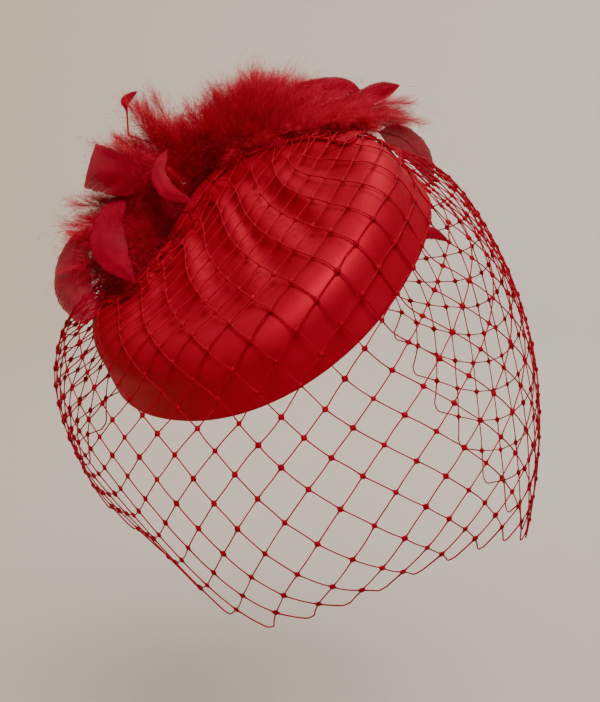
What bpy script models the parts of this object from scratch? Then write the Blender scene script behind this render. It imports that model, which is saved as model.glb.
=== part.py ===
"""Draped pillbox hat worn at a tilt, with a birdcage veil and a spray of feathers.

Metres, +Z up.  The front of the wearer's face looks along -Y.  The origin is the centre
of the head opening in the plane of the rim, and the whole hat is tilted about it.
"""
import math

import bmesh
import bpy
from mathutils import Matrix, Vector

# Driving dimensions of the crown
HAT_LENGTH = 0.2012
HAT_WIDTH = 0.1935
HAT_HEIGHT = 0.0380
LIP_RADIUS = 0.0180
WALL_TAPER = 0.0042
WALL_THICKNESS = 0.0030
PLAN_POWER = 2.16
PLAN_EGG = 0.034
DISH_DEPTH = 0.0045
DISH_SHOULDER = 0.26
FOLD_HEIGHT = 0.0042
FOLD_WIDTH = 0.0095
CLEARANCE = 0.0004

# How the hat sits on the head
TILT_SIDE = math.radians(-33.9)
TILT_FRONT = math.radians(24.8)
TURN = math.radians(-48.2)

# Driving dimensions of the veil
VEIL_HALF_WIDTH = 0.150
VEIL_HALF_DEPTH = 0.140
VEIL_DROP = 0.165
VEIL_LIFT = 0.0070
GATHER_SPREAD = 0.12
BEND_WITHIN = 0.022
TAUT_PASSES = 30
NET_COLUMNS = 13
NET_ROWS = 5
STRAND_WIDTH = 0.0022
STRAND_THICKNESS = 0.0016
GATHER_CORD_RADIUS = 0.0011

# Driving dimensions of the feather spray
PLUME_REACH = 0.100
PAD_WIDTH = 0.0070
PAD_THICKNESS = 0.0026
PAD_LIFT = 0.0007
PAD_SETBACK = 0.0065
LOCK_THICKNESS = 0.0032

# Driving dimensions of the comb inside the rim
COMB_WIDTH = 0.052
COMB_BAR_HEIGHT = 0.0055
COMB_BAR_THICKNESS = 0.0016
COMB_TOOTH_LENGTH = 0.020
COMB_TOOTH_COUNT = 9
COMB_ANGLE = math.radians(62)

PLAN_SEGMENTS = 60
WORN_TILT = (Matrix.Rotation(TILT_SIDE, 4, "Y") @ Matrix.Rotation(TILT_FRONT, 4, "X")
             @ Matrix.Rotation(TURN, 4, "Z"))

# Draped folds on the top: both ends in shares of the half length and half width of the plan,
# height in shares of FOLD_HEIGHT and width in shares of FOLD_WIDTH.
# from_x, from_y, to_x, to_y, height, width
FOLDS = [
    (-0.49, -0.13, -0.40, -0.51, 0.80, 0.90),
    (-0.36, 0.00, 0.05, -0.42, 0.85, 0.90),
    (-0.28, 0.33, 0.41, -0.35, 0.95, 0.95),
    (-0.23, 0.42, 0.59, -0.14, 1.00, 1.00),
    (-0.06, 0.55, 0.61, 0.12, 0.95, 1.00),
    (0.15, 0.50, 0.60, 0.33, 0.60, 0.90),
    (-0.10, -0.02, 0.40, -0.20, -0.30, 0.70),
    (0.10, 0.28, 0.56, 0.04, -0.35, 0.70),
]

# Line of the gather on the top, in shares of the half length and half width of the plan.
# Both ends hook round behind the feathers, so that the net fans out without crossing itself.
GATHER_LINE = [
    (-0.72, -0.12), (-0.68, -0.26), (-0.58, -0.36), (-0.48, -0.32), (-0.47, -0.16),
    (-0.50, 0.04), (-0.52, 0.24), (-0.49, 0.46), (-0.36, 0.66), (-0.10, 0.76),
    (0.16, 0.78), (0.32, 0.74), (0.42, 0.70), (0.47, 0.725), (0.455, 0.775),
]

# Drape lines of the veil, from its left end round the face to its right end behind the head.
# gather is the share along the gather line.  The belly and the hem are given to the right in
# shares of VEIL_HALF_WIDTH, back in shares of VEIL_HALF_DEPTH and up in shares of VEIL_DROP.
# gather, belly_right, belly_back, belly_up, hem_right, hem_back, hem_up
DRAPES = [
    (0.000, -0.66, 0.36, -0.12, -0.50, 0.74, -0.30),
    (0.030, -0.74, 0.32, -0.20, -0.62, 0.64, -0.50),
    (0.070, -0.78, 0.26, -0.22, -0.71, 0.42, -0.69),
    (0.130, -0.77, 0.00, -0.28, -0.62, 0.11, -0.76),
    (0.200, -0.59, -0.32, -0.39, -0.38, -0.25, -0.84),
    (0.300, -0.33, -0.64, -0.44, -0.05, -0.61, -0.99),
    (0.420, 0.01, -0.86, -0.44, 0.25, -0.82, -0.87),
    (0.540, 0.29, -0.82, -0.33, 0.56, -0.75, -0.76),
    (0.660, 0.59, -0.61, -0.12, 0.84, -0.46, -0.74),
    (0.760, 0.81, -0.29, 0.03, 0.96, -0.14, -0.82),
    (0.850, 0.96, 0.18, -0.04, 0.96, 0.29, -0.86),
    (0.900, 0.90, 0.50, 0.03, 0.83, 0.64, -0.73),
    (0.950, 0.73, 0.71, 0.15, 0.60, 0.90, -0.42),
    (1.000, 0.48, 0.74, 0.27, 0.40, 0.96, -0.08),
]

# Feathers of the two sprays.  root is the share along the pad.  The tip lies to the right, back
# and up from the root and the bow leads the quill there, all in shares of PLUME_REACH.
# root, tip_right, tip_back, tip_up, bow_right, bow_back, bow_up, half_width
LEFT_PLUME = [
    (0.08, -0.40, -0.40, -0.34, -0.66, -0.08, 0.06, 0.120),
    (0.16, -0.58, 0.06, -0.06, -0.34, 0.06, 0.22, 0.130),
    (0.30, -0.20, -0.56, -0.22, -0.70, -0.46, 0.18, 0.090),
    (0.36, -0.56, 0.06, 0.02, -0.30, 0.10, 0.26, 0.130),
    (0.44, -0.56, -0.22, 0.16, -0.28, -0.02, 0.34, 0.120),
    (0.56, 0.02, -0.44, 0.08, -0.26, -0.16, 0.48, 0.070),
    (0.62, -0.36, 0.10, 0.50, -0.44, 0.04, 0.22, 0.060),
    (0.54, -0.44, 0.14, 0.30, -0.24, 0.10, 0.34, 0.180),
    (0.68, -0.30, 0.16, 0.44, -0.22, 0.08, 0.30, 0.190),
    (0.78, -0.14, 0.14, 0.38, -0.16, 0.06, 0.28, 0.190),
    (0.90, -0.10, 0.22, 0.40, -0.10, 0.10, 0.28, 0.200),
]
RIGHT_PLUME = [
    (0.12, -0.03, 0.30, 0.46, -0.02, 0.10, 0.32, 0.190),
    (0.24, 0.08, 0.36, 0.46, 0.02, 0.12, 0.32, 0.200),
    (0.36, 0.16, 0.40, 0.34, 0.04, 0.14, 0.28, 0.180),
    (0.46, 0.34, 0.36, 0.34, 0.12, 0.16, 0.26, 0.100),
    (0.60, 0.54, 0.38, 0.26, 0.22, 0.18, 0.24, 0.080),
    (0.74, 0.62, 0.34, 0.06, 0.32, 0.22, 0.24, 0.110),
    (0.84, 0.70, 0.14, -0.28, 0.62, 0.28, 0.24, 0.080),
    (0.66, 0.30, 0.44, 0.22, 0.12, 0.20, 0.22, 0.150),
    (0.90, 0.44, 0.42, 0.04, 0.22, 0.24, 0.24, 0.120),
]
LEFT_PAD = (0.30, 0.58)
RIGHT_PAD = (0.61, 0.82)


def clamp(value, low=0.0, high=1.0):
    return max(low, min(high, value))


def smooth_step(value):
    share = clamp(value)
    return share * share * (3.0 - 2.0 * share)


def through_rows(rows, keys, position):
    """A smooth value between table rows, by cubic pieces through all of them."""
    last = len(rows) - 1
    index = 0
    while index < last - 1 and position > keys[index + 1]:
        index += 1
    span = keys[index + 1] - keys[index]
    share = clamp((position - keys[index]) / span)

    def slope(row):
        before, after = max(row - 1, 0), min(row + 1, last)
        return (rows[after] - rows[before]) * (span / (keys[after] - keys[before]))

    start, end = rows[index], rows[index + 1]
    square, cube = share ** 2, share ** 3
    return (start * (2 * cube - 3 * square + 1) + slope(index) * (cube - 2 * square + share)
            + end * (3 * square - 2 * cube) + slope(index + 1) * (cube - square))


def even_keys(rows):
    """Keys from 0 to 1 in step with the distance between neighbouring rows."""
    keys = [0.0]
    for start, end in zip(rows, rows[1:]):
        keys.append(keys[-1] + (end - start).length)
    return [key / keys[-1] for key in keys]


def make_material(name, color, roughness, sheen=0.0):
    material = bpy.data.materials.new(name)
    material.use_nodes = True
    shader = material.node_tree.nodes["Principled BSDF"]
    shader.inputs["Base Color"].default_value = (*color, 1.0)
    shader.inputs["Roughness"].default_value = roughness
    shader.inputs["Metallic"].default_value = 0.0
    shader.inputs["Sheen Weight"].default_value = sheen
    return material


def add_object(name, bm, material, parent=None):
    mesh = bpy.data.meshes.new(name)
    bmesh.ops.recalc_face_normals(bm, faces=bm.faces)
    bm.to_mesh(mesh)
    bm.free()
    mesh.materials.append(material)
    mesh.shade_smooth()
    mesh.set_sharp_from_angle(angle=math.radians(50))
    piece = bpy.data.objects.new(name, mesh)
    bpy.context.collection.objects.link(piece)
    piece.parent = parent
    return piece


# Shape of the crown in its own frame, with the rim in the plane z = 0

def plan_radius(angle):
    """Distance from the axis to the wall at the rim, for a slightly squared egg-shaped plan."""
    along = abs(math.cos(angle)) / (HAT_LENGTH / 2)
    across = abs(math.sin(angle)) / (HAT_WIDTH / 2)
    radius = (along ** PLAN_POWER + across ** PLAN_POWER) ** (-1.0 / PLAN_POWER)
    return radius * (1.0 + PLAN_EGG * math.cos(angle) * math.sin(angle) ** 2)


def top_radius(angle):
    """Distance from the axis to the inner edge of the rounded lip."""
    return plan_radius(angle) - WALL_TAPER - LIP_RADIUS


def segment_distance(x, y, start, end):
    along = end - start
    share = clamp((Vector((x, y)) - start).dot(along) / along.length_squared)
    return (Vector((x, y)) - start - along * share).length


def fold_height(x, y):
    height = 0.0
    for from_x, from_y, to_x, to_y, share, width in FOLDS:
        start = Vector((from_x * HAT_LENGTH / 2, from_y * HAT_WIDTH / 2))
        end = Vector((to_x * HAT_LENGTH / 2, to_y * HAT_WIDTH / 2))
        distance = segment_distance(x, y, start, end)
        height += share * FOLD_HEIGHT * math.exp(-(distance / (width * FOLD_WIDTH)) ** 2)
    return height


def dish_drop(share):
    """How far the top lies under the lip, at a share of the way from the centre to the lip."""
    return DISH_DEPTH * smooth_step((1.0 - share) / DISH_SHOULDER)


def crown_height(x, y):
    """Height of the satin over the rim plane at a place on the top or the lip."""
    angle = math.atan2(y, x)
    radius = math.hypot(x, y)
    inner = top_radius(angle)
    if radius > inner:
        over = min(radius - inner, LIP_RADIUS)
        return HAT_HEIGHT - LIP_RADIUS + math.sqrt(LIP_RADIUS ** 2 - over ** 2)
    share = radius / inner
    fade = smooth_step((1.0 - share) / 0.12)
    return HAT_HEIGHT - dish_drop(share) + fade * fold_height(x, y)


def ring_place(bm, ring, radius_of, height_of):
    for index, vert in enumerate(ring):
        angle = math.tau * index / len(ring)
        radius = radius_of(angle)
        x, y = radius * math.cos(angle), radius * math.sin(angle)
        vert.co = (x, y, height_of(x, y))


def grow_ring(bm, ring):
    """A new ring of points joined by faces to the last one."""
    edges = [bm.edges.get((ring[i], ring[(i + 1) % len(ring)])) for i in range(len(ring))]
    grown = bmesh.ops.extrude_edge_only(bm, edges=edges)["geom"]
    fresh = {v for v in grown if isinstance(v, bmesh.types.BMVert)}
    partner = {}
    for vert in fresh:
        for edge in vert.link_edges:
            other = edge.other_vert(vert)
            if other not in fresh:
                partner[other] = vert
    return [partner[vert] for vert in ring]


def close_ring(bm, ring, height):
    """A fan that closes the last ring at the axis."""
    last = grow_ring(bm, ring)
    bmesh.ops.pointmerge(bm, verts=last, merge_co=(0.0, 0.0, height))


def crown_sections():
    """Sections of the shell: outside from rim to centre, and inside from rim to centre."""
    wall_top = HAT_HEIGHT - LIP_RADIUS
    edge = 0.3 * WALL_THICKNESS
    outside = [
        (lambda a: plan_radius(a) - edge, lambda x, y: 0.0),
        (plan_radius, lambda x, y: edge),
        (lambda a: plan_radius(a) - 0.4 * WALL_TAPER, lambda x, y: 0.5 * wall_top),
    ]
    for step in range(6):
        turn = math.radians(90) * step / 6
        inset = WALL_TAPER + LIP_RADIUS * (1.0 - math.cos(turn))
        height = wall_top + LIP_RADIUS * math.sin(turn)
        outside.append((lambda a, i=inset: plan_radius(a) - i, lambda x, y, h=height: h))
    for share in (1.0, 0.93, 0.85, 0.77, 0.69, 0.61, 0.53, 0.45, 0.36, 0.27, 0.18, 0.09):
        outside.append((lambda a, s=share: s * top_radius(a), crown_height))
    inside = [
        (lambda a: plan_radius(a) - WALL_THICKNESS, lambda x, y: 0.0),
        (lambda a: plan_radius(a) - WALL_THICKNESS - WALL_TAPER, lambda x, y: wall_top),
    ]
    ceiling = HAT_HEIGHT - WALL_THICKNESS
    hollow_lip = LIP_RADIUS - WALL_THICKNESS
    for step in range(1, 4):
        turn = math.radians(90) * step / 4
        inset = WALL_TAPER + LIP_RADIUS - hollow_lip * math.cos(turn)
        height = wall_top + hollow_lip * math.sin(turn)
        inside.append((lambda a, i=inset: plan_radius(a) - i, lambda x, y, h=height: h))
    for share in (1.0, 0.86, 0.72, 0.36):
        drop = dish_drop(share) + 0.5 * FOLD_HEIGHT * smooth_step((1.0 - share) / 0.12)
        inside.append((lambda a, s=share: s * top_radius(a), lambda x, y, d=drop: ceiling - d))
    return outside, inside


def build_crown(material, parent):
    outside, inside = crown_sections()
    bm = bmesh.new()
    bmesh.ops.create_circle(bm, segments=PLAN_SEGMENTS, radius=HAT_LENGTH / 2)
    bm.verts.ensure_lookup_table()
    rim = list(bm.verts)
    ring = rim
    ring_place(bm, ring, *outside[0])
    for section in outside[1:]:
        ring = grow_ring(bm, ring)
        ring_place(bm, ring, *section)
    close_ring(bm, ring, crown_height(0.0, 0.0))
    ring = rim
    for section in inside:
        ring = grow_ring(bm, ring)
        ring_place(bm, ring, *section)
    close_ring(bm, ring, HAT_HEIGHT - WALL_THICKNESS - DISH_DEPTH - 0.5 * FOLD_HEIGHT)
    return add_object("crown", bm, material, parent)


def build_comb(material, parent):
    """A plain curved comb just inside the rim, its teeth pointing to the axis."""
    cells = 2 * COMB_TOOTH_COUNT - 1
    bar_top = CLEARANCE + COMB_BAR_HEIGHT
    outer_gap = (WALL_THICKNESS + CLEARANCE
                 + WALL_TAPER * bar_top / (HAT_HEIGHT - LIP_RADIUS))
    step = COMB_WIDTH / (plan_radius(COMB_ANGLE) * cells)
    low, high = CLEARANCE, bar_top
    bm = bmesh.new()

    def station(index):
        angle = COMB_ANGLE + (index - cells / 2) * step
        outer = plan_radius(angle) - outer_gap
        inner = outer - COMB_BAR_THICKNESS
        places = ((outer, low), (inner, low), (inner, high), (outer, high))
        return [bm.verts.new((r * math.cos(angle), r * math.sin(angle), z)) for r, z in places]

    stations = [station(index) for index in range(cells + 1)]
    bm.faces.new(stations[0])
    bm.faces.new(reversed(stations[-1]))
    teeth = []
    for index, (here, there) in enumerate(zip(stations, stations[1:])):
        for side in range(4):
            corner = (side + 1) % 4
            face = bm.faces.new((here[side], there[side], there[corner], here[corner]))
            if side == 1 and index % 2 == 0:
                teeth.append(face)
    bmesh.ops.recalc_face_normals(bm, faces=bm.faces)
    for face in bmesh.ops.extrude_discrete_faces(bm, faces=teeth)["faces"]:
        middle = face.calc_center_median()
        inward = Vector((-middle.x, -middle.y, 0.0)).normalized()
        bmesh.ops.scale(bm, vec=(0.6, 0.6, 0.4), verts=face.verts,
                        space=Matrix.Translation(-middle))
        bmesh.ops.translate(bm, vec=inward * COMB_TOOTH_LENGTH, verts=face.verts)
    return add_object("hair_comb", bm, material, parent)


# Line of the gather, and the pad of the feathers behind it

def plan_points(line):
    return [Vector((x * HAT_LENGTH / 2, y * HAT_WIDTH / 2, 0.0)) for x, y in line]


def gather_plan(share):
    rows = plan_points(GATHER_LINE)
    return through_rows(rows, even_keys(rows), share)


def gather_outward(share):
    """Level direction across the gather line, away from the middle of the hat."""
    along = gather_plan(min(share + 0.01, 1.0)) - gather_plan(max(share - 0.01, 0.0))
    return Vector((-along.y, along.x, 0.0)).normalized()


def on_crown(place, lift):
    """A place over the satin, in the worn frame."""
    return WORN_TILT @ Vector((place.x, place.y, crown_height(place.x, place.y) + lift))


def gather_point(share):
    """Middle of the gather cord, which lies on the satin."""
    return on_crown(gather_plan(share), GATHER_CORD_RADIUS + CLEARANCE)


def net_start(share):
    """First place of the net, just over the gather cord."""
    return on_crown(gather_plan(share), 2 * (GATHER_CORD_RADIUS + CLEARANCE) + STRAND_THICKNESS / 2)


# Drape of the veil

def hat_distance(point):
    """Distance of a point from the hat's rounded outside, and the way out of it."""
    place = WORN_TILT.inverted() @ point
    angle = math.atan2(place.y, place.x)
    outward = Vector((math.cos(angle), math.sin(angle), 0.0))
    upward = Vector((0.0, 0.0, 1.0))
    across = math.hypot(place.x, place.y) - top_radius(angle)
    above = place.z - (HAT_HEIGHT - LIP_RADIUS)
    if across > 0.0 and above > 0.0:
        reach = math.hypot(across, above)
        away, distance = (outward * across + upward * above) / reach, reach - LIP_RADIUS
    elif across > above:
        away, distance = outward, across - LIP_RADIUS
    else:
        away, distance = upward, above - LIP_RADIUS
    if place.z < 0.0:
        distance = math.hypot(max(distance, 0.0), place.z)
    return distance, WORN_TILT @ away


def lift_clear(point, lift):
    """Move a point of the net out of the hat until it is lift away from it."""
    distance, away = hat_distance(point)
    return point + away * max(lift - distance, 0.0)


def drape_table():
    """The drape table as gather shares, belly points and hem points in the worn frame."""
    gathers, bellies, hems = [], [], []
    for gather, *places in DRAPES:
        gathers.append(gather)
        for rows, (right, back, up) in ((bellies, places[:3]), (hems, places[3:])):
            rows.append(Vector((right * VEIL_HALF_WIDTH, back * VEIL_HALF_DEPTH, up * VEIL_DROP)))
    return gathers, bellies, hems


def drape_line(across, table):
    """Points of one drape line from the gather over the hat, out to the belly and the hem.

    Where the line meets the hat it is drawn taut over it, at a lift that starts as the
    gather's own and grows to VEIL_LIFT.
    """
    gathers, bellies, hems = table
    keys = even_keys(hems)
    start = net_start(through_rows(gathers, keys, across))
    belly = through_rows(bellies, keys, across)
    hem = through_rows(hems, keys, across)
    lead = belly * 2.0 - (start + hem) * 0.5
    steps = 32
    first_lift = hat_distance(start)[0]
    lifts = [first_lift + (VEIL_LIFT - first_lift) * smooth_step(index / steps / GATHER_SPREAD)
             for index in range(steps + 1)]
    line = [start.lerp(lead, index / steps).lerp(lead.lerp(hem, index / steps), index / steps)
            for index in range(steps + 1)]
    touching = [index for index in range(steps) if hat_distance(line[index])[0] < lifts[index]]
    last = min(max(touching, default=0) + 2, steps)
    for _ in range(TAUT_PASSES):
        for index in range(1, last):
            middle = (line[index - 1] + line[index + 1]) / 2
            line[index] = lift_clear(middle, lifts[index])
    return line


def veil_surface():
    """A function that gives the place on the veil at a share across and a share down."""
    table = drape_table()
    lines = {}

    def place(across, down):
        key = round(across, 4)
        if key not in lines:
            lines[key] = drape_line(key, table)
        return through_rows(lines[key], even_keys(lines[key]), down)

    return place


def build_net(place):
    """The coarse net: a flat grid turned into diamonds, cut through, and draped."""
    def flat_share(x, y):
        return x / NET_COLUMNS + 0.5, 0.5 - y / NET_ROWS

    def flat_place(edge):
        middle = (edge.verts[0].co + edge.verts[1].co) / 2
        return place(*flat_share(middle.x, middle.y))

    bm = bmesh.new()
    bmesh.ops.create_grid(bm, x_segments=NET_COLUMNS, y_segments=NET_ROWS, size=0.5)
    bmesh.ops.scale(bm, vec=(NET_COLUMNS, NET_ROWS, 1.0), verts=bm.verts)
    square_edges = [edge for edge in bm.edges if len(edge.link_faces) == 2]
    bmesh.ops.poke(bm, faces=bm.faces[:])
    bmesh.ops.dissolve_edges(bm, edges=square_edges, use_verts=False)
    halves = [face for face in bm.faces if len(face.verts) == 3]
    bmesh.ops.delete(bm, geom=halves, context="FACES")
    bent = [edge for edge in bm.edges if hat_distance(flat_place(edge))[0] < BEND_WITHIN]
    bmesh.ops.bisect_edges(bm, edges=bent, cuts=1)
    meshes = bm.faces[:]
    strands = bmesh.ops.inset_individual(bm, faces=meshes, thickness=0.05)["faces"]
    sides = {edge for face in meshes for edge in face.edges}
    insides = {vert for edge in sides for vert in edge.verts}
    flat = {vert: flat_share(vert.co.x, vert.co.y) for vert in bm.verts}
    for vert in bm.verts:
        if vert not in insides:
            vert.co = place(*flat[vert])
    for vert in insides:
        outer = next(edge.other_vert(vert) for edge in vert.link_edges if edge not in sides)
        corner = len({face for face in outer.link_faces if face not in meshes}) > 4
        toward = (place(*flat[vert]) - outer.co).normalized()
        vert.co = outer.co + toward * STRAND_WIDTH / 2 * (math.sqrt(2.0) if corner else 1.0)
    bmesh.ops.delete(bm, geom=meshes, context="FACES")
    bmesh.ops.recalc_face_normals(bm, faces=strands)
    bm.normal_update()
    for vert in bm.verts:
        vert.co -= vert.normal * STRAND_THICKNESS / 2
    under = set(bm.verts)
    bmesh.ops.extrude_face_region(bm, geom=strands, use_keep_orig=True)
    for vert in bm.verts:
        if vert not in under:
            vert.co += vert.normal * STRAND_THICKNESS
    return bm


def build_gather_cord():
    """The drawn-up edge of the net, a round cord that lies on the satin."""
    bm = bmesh.new()
    steps, sides = 56, 6
    ring = []
    stations = [gather_point(index / steps) for index in range(steps + 1)]
    for index, place in enumerate(stations):
        along = (stations[min(index + 1, steps)] - stations[max(index - 1, 0)]).normalized()
        up = WORN_TILT @ Vector((0.0, 0.0, 1.0))
        side = along.cross(up).normalized()
        up = side.cross(along)
        fresh = []
        for corner in range(sides):
            turn = math.tau * corner / sides
            fresh.append(bm.verts.new(place + GATHER_CORD_RADIUS
                                      * (side * math.cos(turn) + up * math.sin(turn))))
        if ring:
            for corner in range(sides):
                following = (corner + 1) % sides
                bm.faces.new((ring[corner], ring[following], fresh[following], fresh[corner]))
        else:
            bm.faces.new(fresh)
        ring = fresh
    bm.faces.new(reversed(ring))
    return bm


def fuse(piece, others):
    """Join other closed shapes to a piece as one body."""
    bpy.context.view_layer.objects.active = piece
    for other in others:
        modifier = piece.modifiers.new("fuse", "BOOLEAN")
        modifier.operation = "UNION"
        modifier.solver = "EXACT"
        modifier.object = other
        bpy.ops.object.modifier_apply(modifier=modifier.name)
        bpy.data.objects.remove(other, do_unlink=True)
    return piece


# Feather sprays

def pad_point(share, pad):
    start, end = pad
    along = start + (end - start) * share
    return gather_plan(along) + gather_outward(along) * (PAD_SETBACK + PAD_WIDTH / 2)


def build_pad(pad):
    """A strip that follows the satin behind the gather."""
    bm = bmesh.new()
    steps = 12
    stations = []
    for index in range(steps + 1):
        start, end = pad
        outward = gather_outward(start + (end - start) * index / steps)
        middle = pad_point(index / steps, pad)
        places = [middle + outward * PAD_WIDTH * offset for offset in (-0.5, 0.0, 0.5)]
        under = [on_crown(place, PAD_LIFT) for place in places]
        over = [on_crown(place, PAD_LIFT + PAD_THICKNESS) for place in reversed(places)]
        stations.append([bm.verts.new(co) for co in under + over])
    bm.faces.new(stations[0])
    bm.faces.new(reversed(stations[-1]))
    for here, there in zip(stations, stations[1:]):
        for side in range(6):
            corner = (side + 1) % 6
            bm.faces.new((here[side], there[side], there[corner], here[corner]))
    bmesh.ops.triangulate(bm, faces=bm.faces[:])
    return bm


def build_lock(row, pad):
    """One feather as a bowed, tapering blade whose root is sunk in the pad."""
    root, right, back, up, bow_right, bow_back, bow_up, half_width = row
    start = on_crown(pad_point(root, pad), PAD_LIFT + PAD_THICKNESS * 0.45)
    tip = start + Vector((right, back, up)) * PLUME_REACH
    lead = start + Vector((bow_right, bow_back, bow_up)) * PLUME_REACH
    shares = ((0.0, 0.16), (0.2, 0.55), (0.45, 1.0), (0.72, 0.85), (0.92, 0.40), (1.0, 0.10))
    bm = bmesh.new()
    ring = []
    for share, fullness in shares:
        place = start.lerp(lead, share).lerp(lead.lerp(tip, share), share)
        along = (lead - start).lerp(tip - lead, share).normalized()
        face = along.cross(Vector((0.0, 1.0, 0.25))).normalized()
        depth = along.cross(face).normalized()
        width = face * half_width * fullness * PLUME_REACH
        thick = depth * LOCK_THICKNESS * (0.35 + 0.65 * fullness) / 2
        corners = (width, width * 0.5 + thick, width * -0.5 + thick,
                   -width, width * -0.5 - thick, width * 0.5 - thick)
        fresh = [bm.verts.new(place + corner) for corner in corners]
        if ring:
            for side in range(6):
                corner = (side + 1) % 6
                bm.faces.new((ring[side], ring[corner], fresh[corner], fresh[side]))
        else:
            bm.faces.new(reversed(fresh))
        ring = fresh
    bm.faces.new(ring)
    bmesh.ops.triangulate(bm, faces=bm.faces[:])
    return bm


def build_plume(name, rows, pad, material):
    plume = add_object(name, build_pad(pad), material)
    locks = [add_object(f"{name}_lock", build_lock(row, pad), material) for row in rows]
    return fuse(plume, locks)


def main():
    for piece in list(bpy.data.objects):
        bpy.data.objects.remove(piece, do_unlink=True)
    satin = make_material("satin", (0.52, 0.008, 0.016), 0.34, 0.2)
    net = make_material("net", (0.50, 0.006, 0.014), 0.60)
    feather = make_material("feather", (0.42, 0.004, 0.012), 0.80, 0.4)
    comb = make_material("comb", (0.30, 0.02, 0.02), 0.35)
    worn = bpy.data.objects.new("worn_tilt", None)
    worn.matrix_world = WORN_TILT
    bpy.context.collection.objects.link(worn)
    build_crown(satin, worn)
    build_comb(comb, worn)
    add_object("veil", build_net(veil_surface()), net)
    add_object("veil_gather", build_gather_cord(), net)
    build_plume("plume_left", LEFT_PLUME, LEFT_PAD, feather)
    build_plume("plume_right", RIGHT_PLUME, RIGHT_PAD, feather)


main()
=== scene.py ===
"""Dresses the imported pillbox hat: draped satin, knotted veil, feathers and down.

Metres, +Z up.  The front of the wearer's face looks along -Y.  Laid out as an add-on and
run as a script: each operator makes a piece or a group of like pieces, in the place of
their solids.
"""
import math
import random

import bmesh
import bpy
import numpy as np
from bpy.props import FloatProperty, FloatVectorProperty, IntProperty, PointerProperty
from mathutils import Matrix, Vector, noise


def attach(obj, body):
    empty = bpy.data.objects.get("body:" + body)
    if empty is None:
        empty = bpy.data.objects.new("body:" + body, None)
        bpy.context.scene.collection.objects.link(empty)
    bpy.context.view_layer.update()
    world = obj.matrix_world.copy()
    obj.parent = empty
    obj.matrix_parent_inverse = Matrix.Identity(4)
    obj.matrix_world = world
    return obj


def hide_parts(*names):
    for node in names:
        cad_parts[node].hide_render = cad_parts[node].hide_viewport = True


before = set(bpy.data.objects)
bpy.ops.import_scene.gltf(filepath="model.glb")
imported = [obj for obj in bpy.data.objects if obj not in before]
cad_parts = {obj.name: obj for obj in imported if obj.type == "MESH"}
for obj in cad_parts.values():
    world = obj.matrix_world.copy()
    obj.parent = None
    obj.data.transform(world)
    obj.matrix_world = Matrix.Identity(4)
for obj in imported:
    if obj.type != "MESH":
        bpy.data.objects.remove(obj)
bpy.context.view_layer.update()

bl_info = {
    "name": "Pillbox Hat Dressing",
    "version": (1, 0, 0),
    "blender": (4, 5, 0),
    "location": "View3D > Sidebar > Pillbox Hat",
    "description": "Satin cover, knotted veil, feathers and down for the pillbox hat",
    "category": "Object",
}

# Shape of the crown, in its own frame with the rim in the plane z = 0
HAT_LENGTH = 0.2012
HAT_WIDTH = 0.1935
HAT_HEIGHT = 0.0380
LIP_RADIUS = 0.0180
WALL_TAPER = 0.0042
WALL_THICKNESS = 0.0030
PLAN_POWER = 2.16
PLAN_EGG = 0.034
DISH_DEPTH = 0.0045
DISH_SHOULDER = 0.26
TOP_EASE = 0.12
FOLD_HEIGHT = 0.0042
FOLD_WIDTH = 0.0095
WALL_TOP = HAT_HEIGHT - LIP_RADIUS
WORN_TILT = (Matrix.Rotation(math.radians(-33.9), 4, "Y")
             @ Matrix.Rotation(math.radians(24.8), 4, "X")
             @ Matrix.Rotation(math.radians(-48.2), 4, "Z"))
TILT_BACK = WORN_TILT.inverted()

# Course of the veil
VEIL_HALF_WIDTH = 0.150
VEIL_HALF_DEPTH = 0.140
VEIL_DROP = 0.165
GATHER_SPREAD = 0.12
GATHER_LIFT = 0.0022
DRAPE_STEPS = 32
TAUT_PASSES = 30
SLACK_FROM = 0.64
SLACK_SPREAD = 0.10
HEM_DROP = 0.003
HEM_DIP = 0.007
DIP_PLACE = 0.54
DIP_SPREAD = 0.13

# Settling of the net: the share of a long strand's pull with which a short one pushes, the
# steady pull of every strand, and the largest steps across and down in one pass
SETTLE_PASSES = 500
PUSH_SHARE = 0.12
STEADY_PULL = 0.10
STEP_ACROSS = 0.004
STEP_DOWN = 0.008

# Strips that carry the feathers behind the gather
PAD_WIDTH = 0.0070
PAD_THICKNESS = 0.0026
PAD_LIFT = 0.0007
PAD_SETBACK = 0.0065
LEFT_PAD = (0.30, 0.58)
RIGHT_PAD = (0.61, 0.82)

# Loose barbs on the edges of a broad feather, and the long hairs that stand out of the down
EDGE_BARBS = 60
LONG_HAIR_SHARE = 0.10
LONG_HAIR_GROWTH = 1.8
LONGEST_HAIR = 0.022

# Broad folds of the top, in shares of the half length and half width of the plan.
# from_x, from_y, to_x, to_y, height, width
FOLDS = [
    (-0.49, -0.13, -0.40, -0.51, 0.80, 0.90),
    (-0.36, 0.00, 0.05, -0.42, 0.85, 0.90),
    (-0.28, 0.33, 0.41, -0.35, 0.95, 0.95),
    (-0.23, 0.42, 0.59, -0.14, 1.00, 1.00),
    (-0.06, 0.55, 0.61, 0.12, 0.95, 1.00),
    (0.15, 0.50, 0.60, 0.33, 0.60, 0.90),
    (-0.10, -0.02, 0.40, -0.20, -0.30, 0.70),
    (0.10, 0.28, 0.56, 0.04, -0.35, 0.70),
]

# Creases between the broad folds, in the same columns
CREASES = [
    (-0.45, -0.10, -0.22, -0.50, -0.45, 0.42),
    (-0.37, 0.12, 0.14, -0.36, -0.62, 0.55),
    (-0.25, 0.36, 0.40, -0.20, -0.66, 0.46),
    (-0.02, 0.42, 0.66, 0.01, -0.56, 0.60),
    (0.14, 0.50, 0.50, 0.30, -0.30, 0.45),
]

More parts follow.
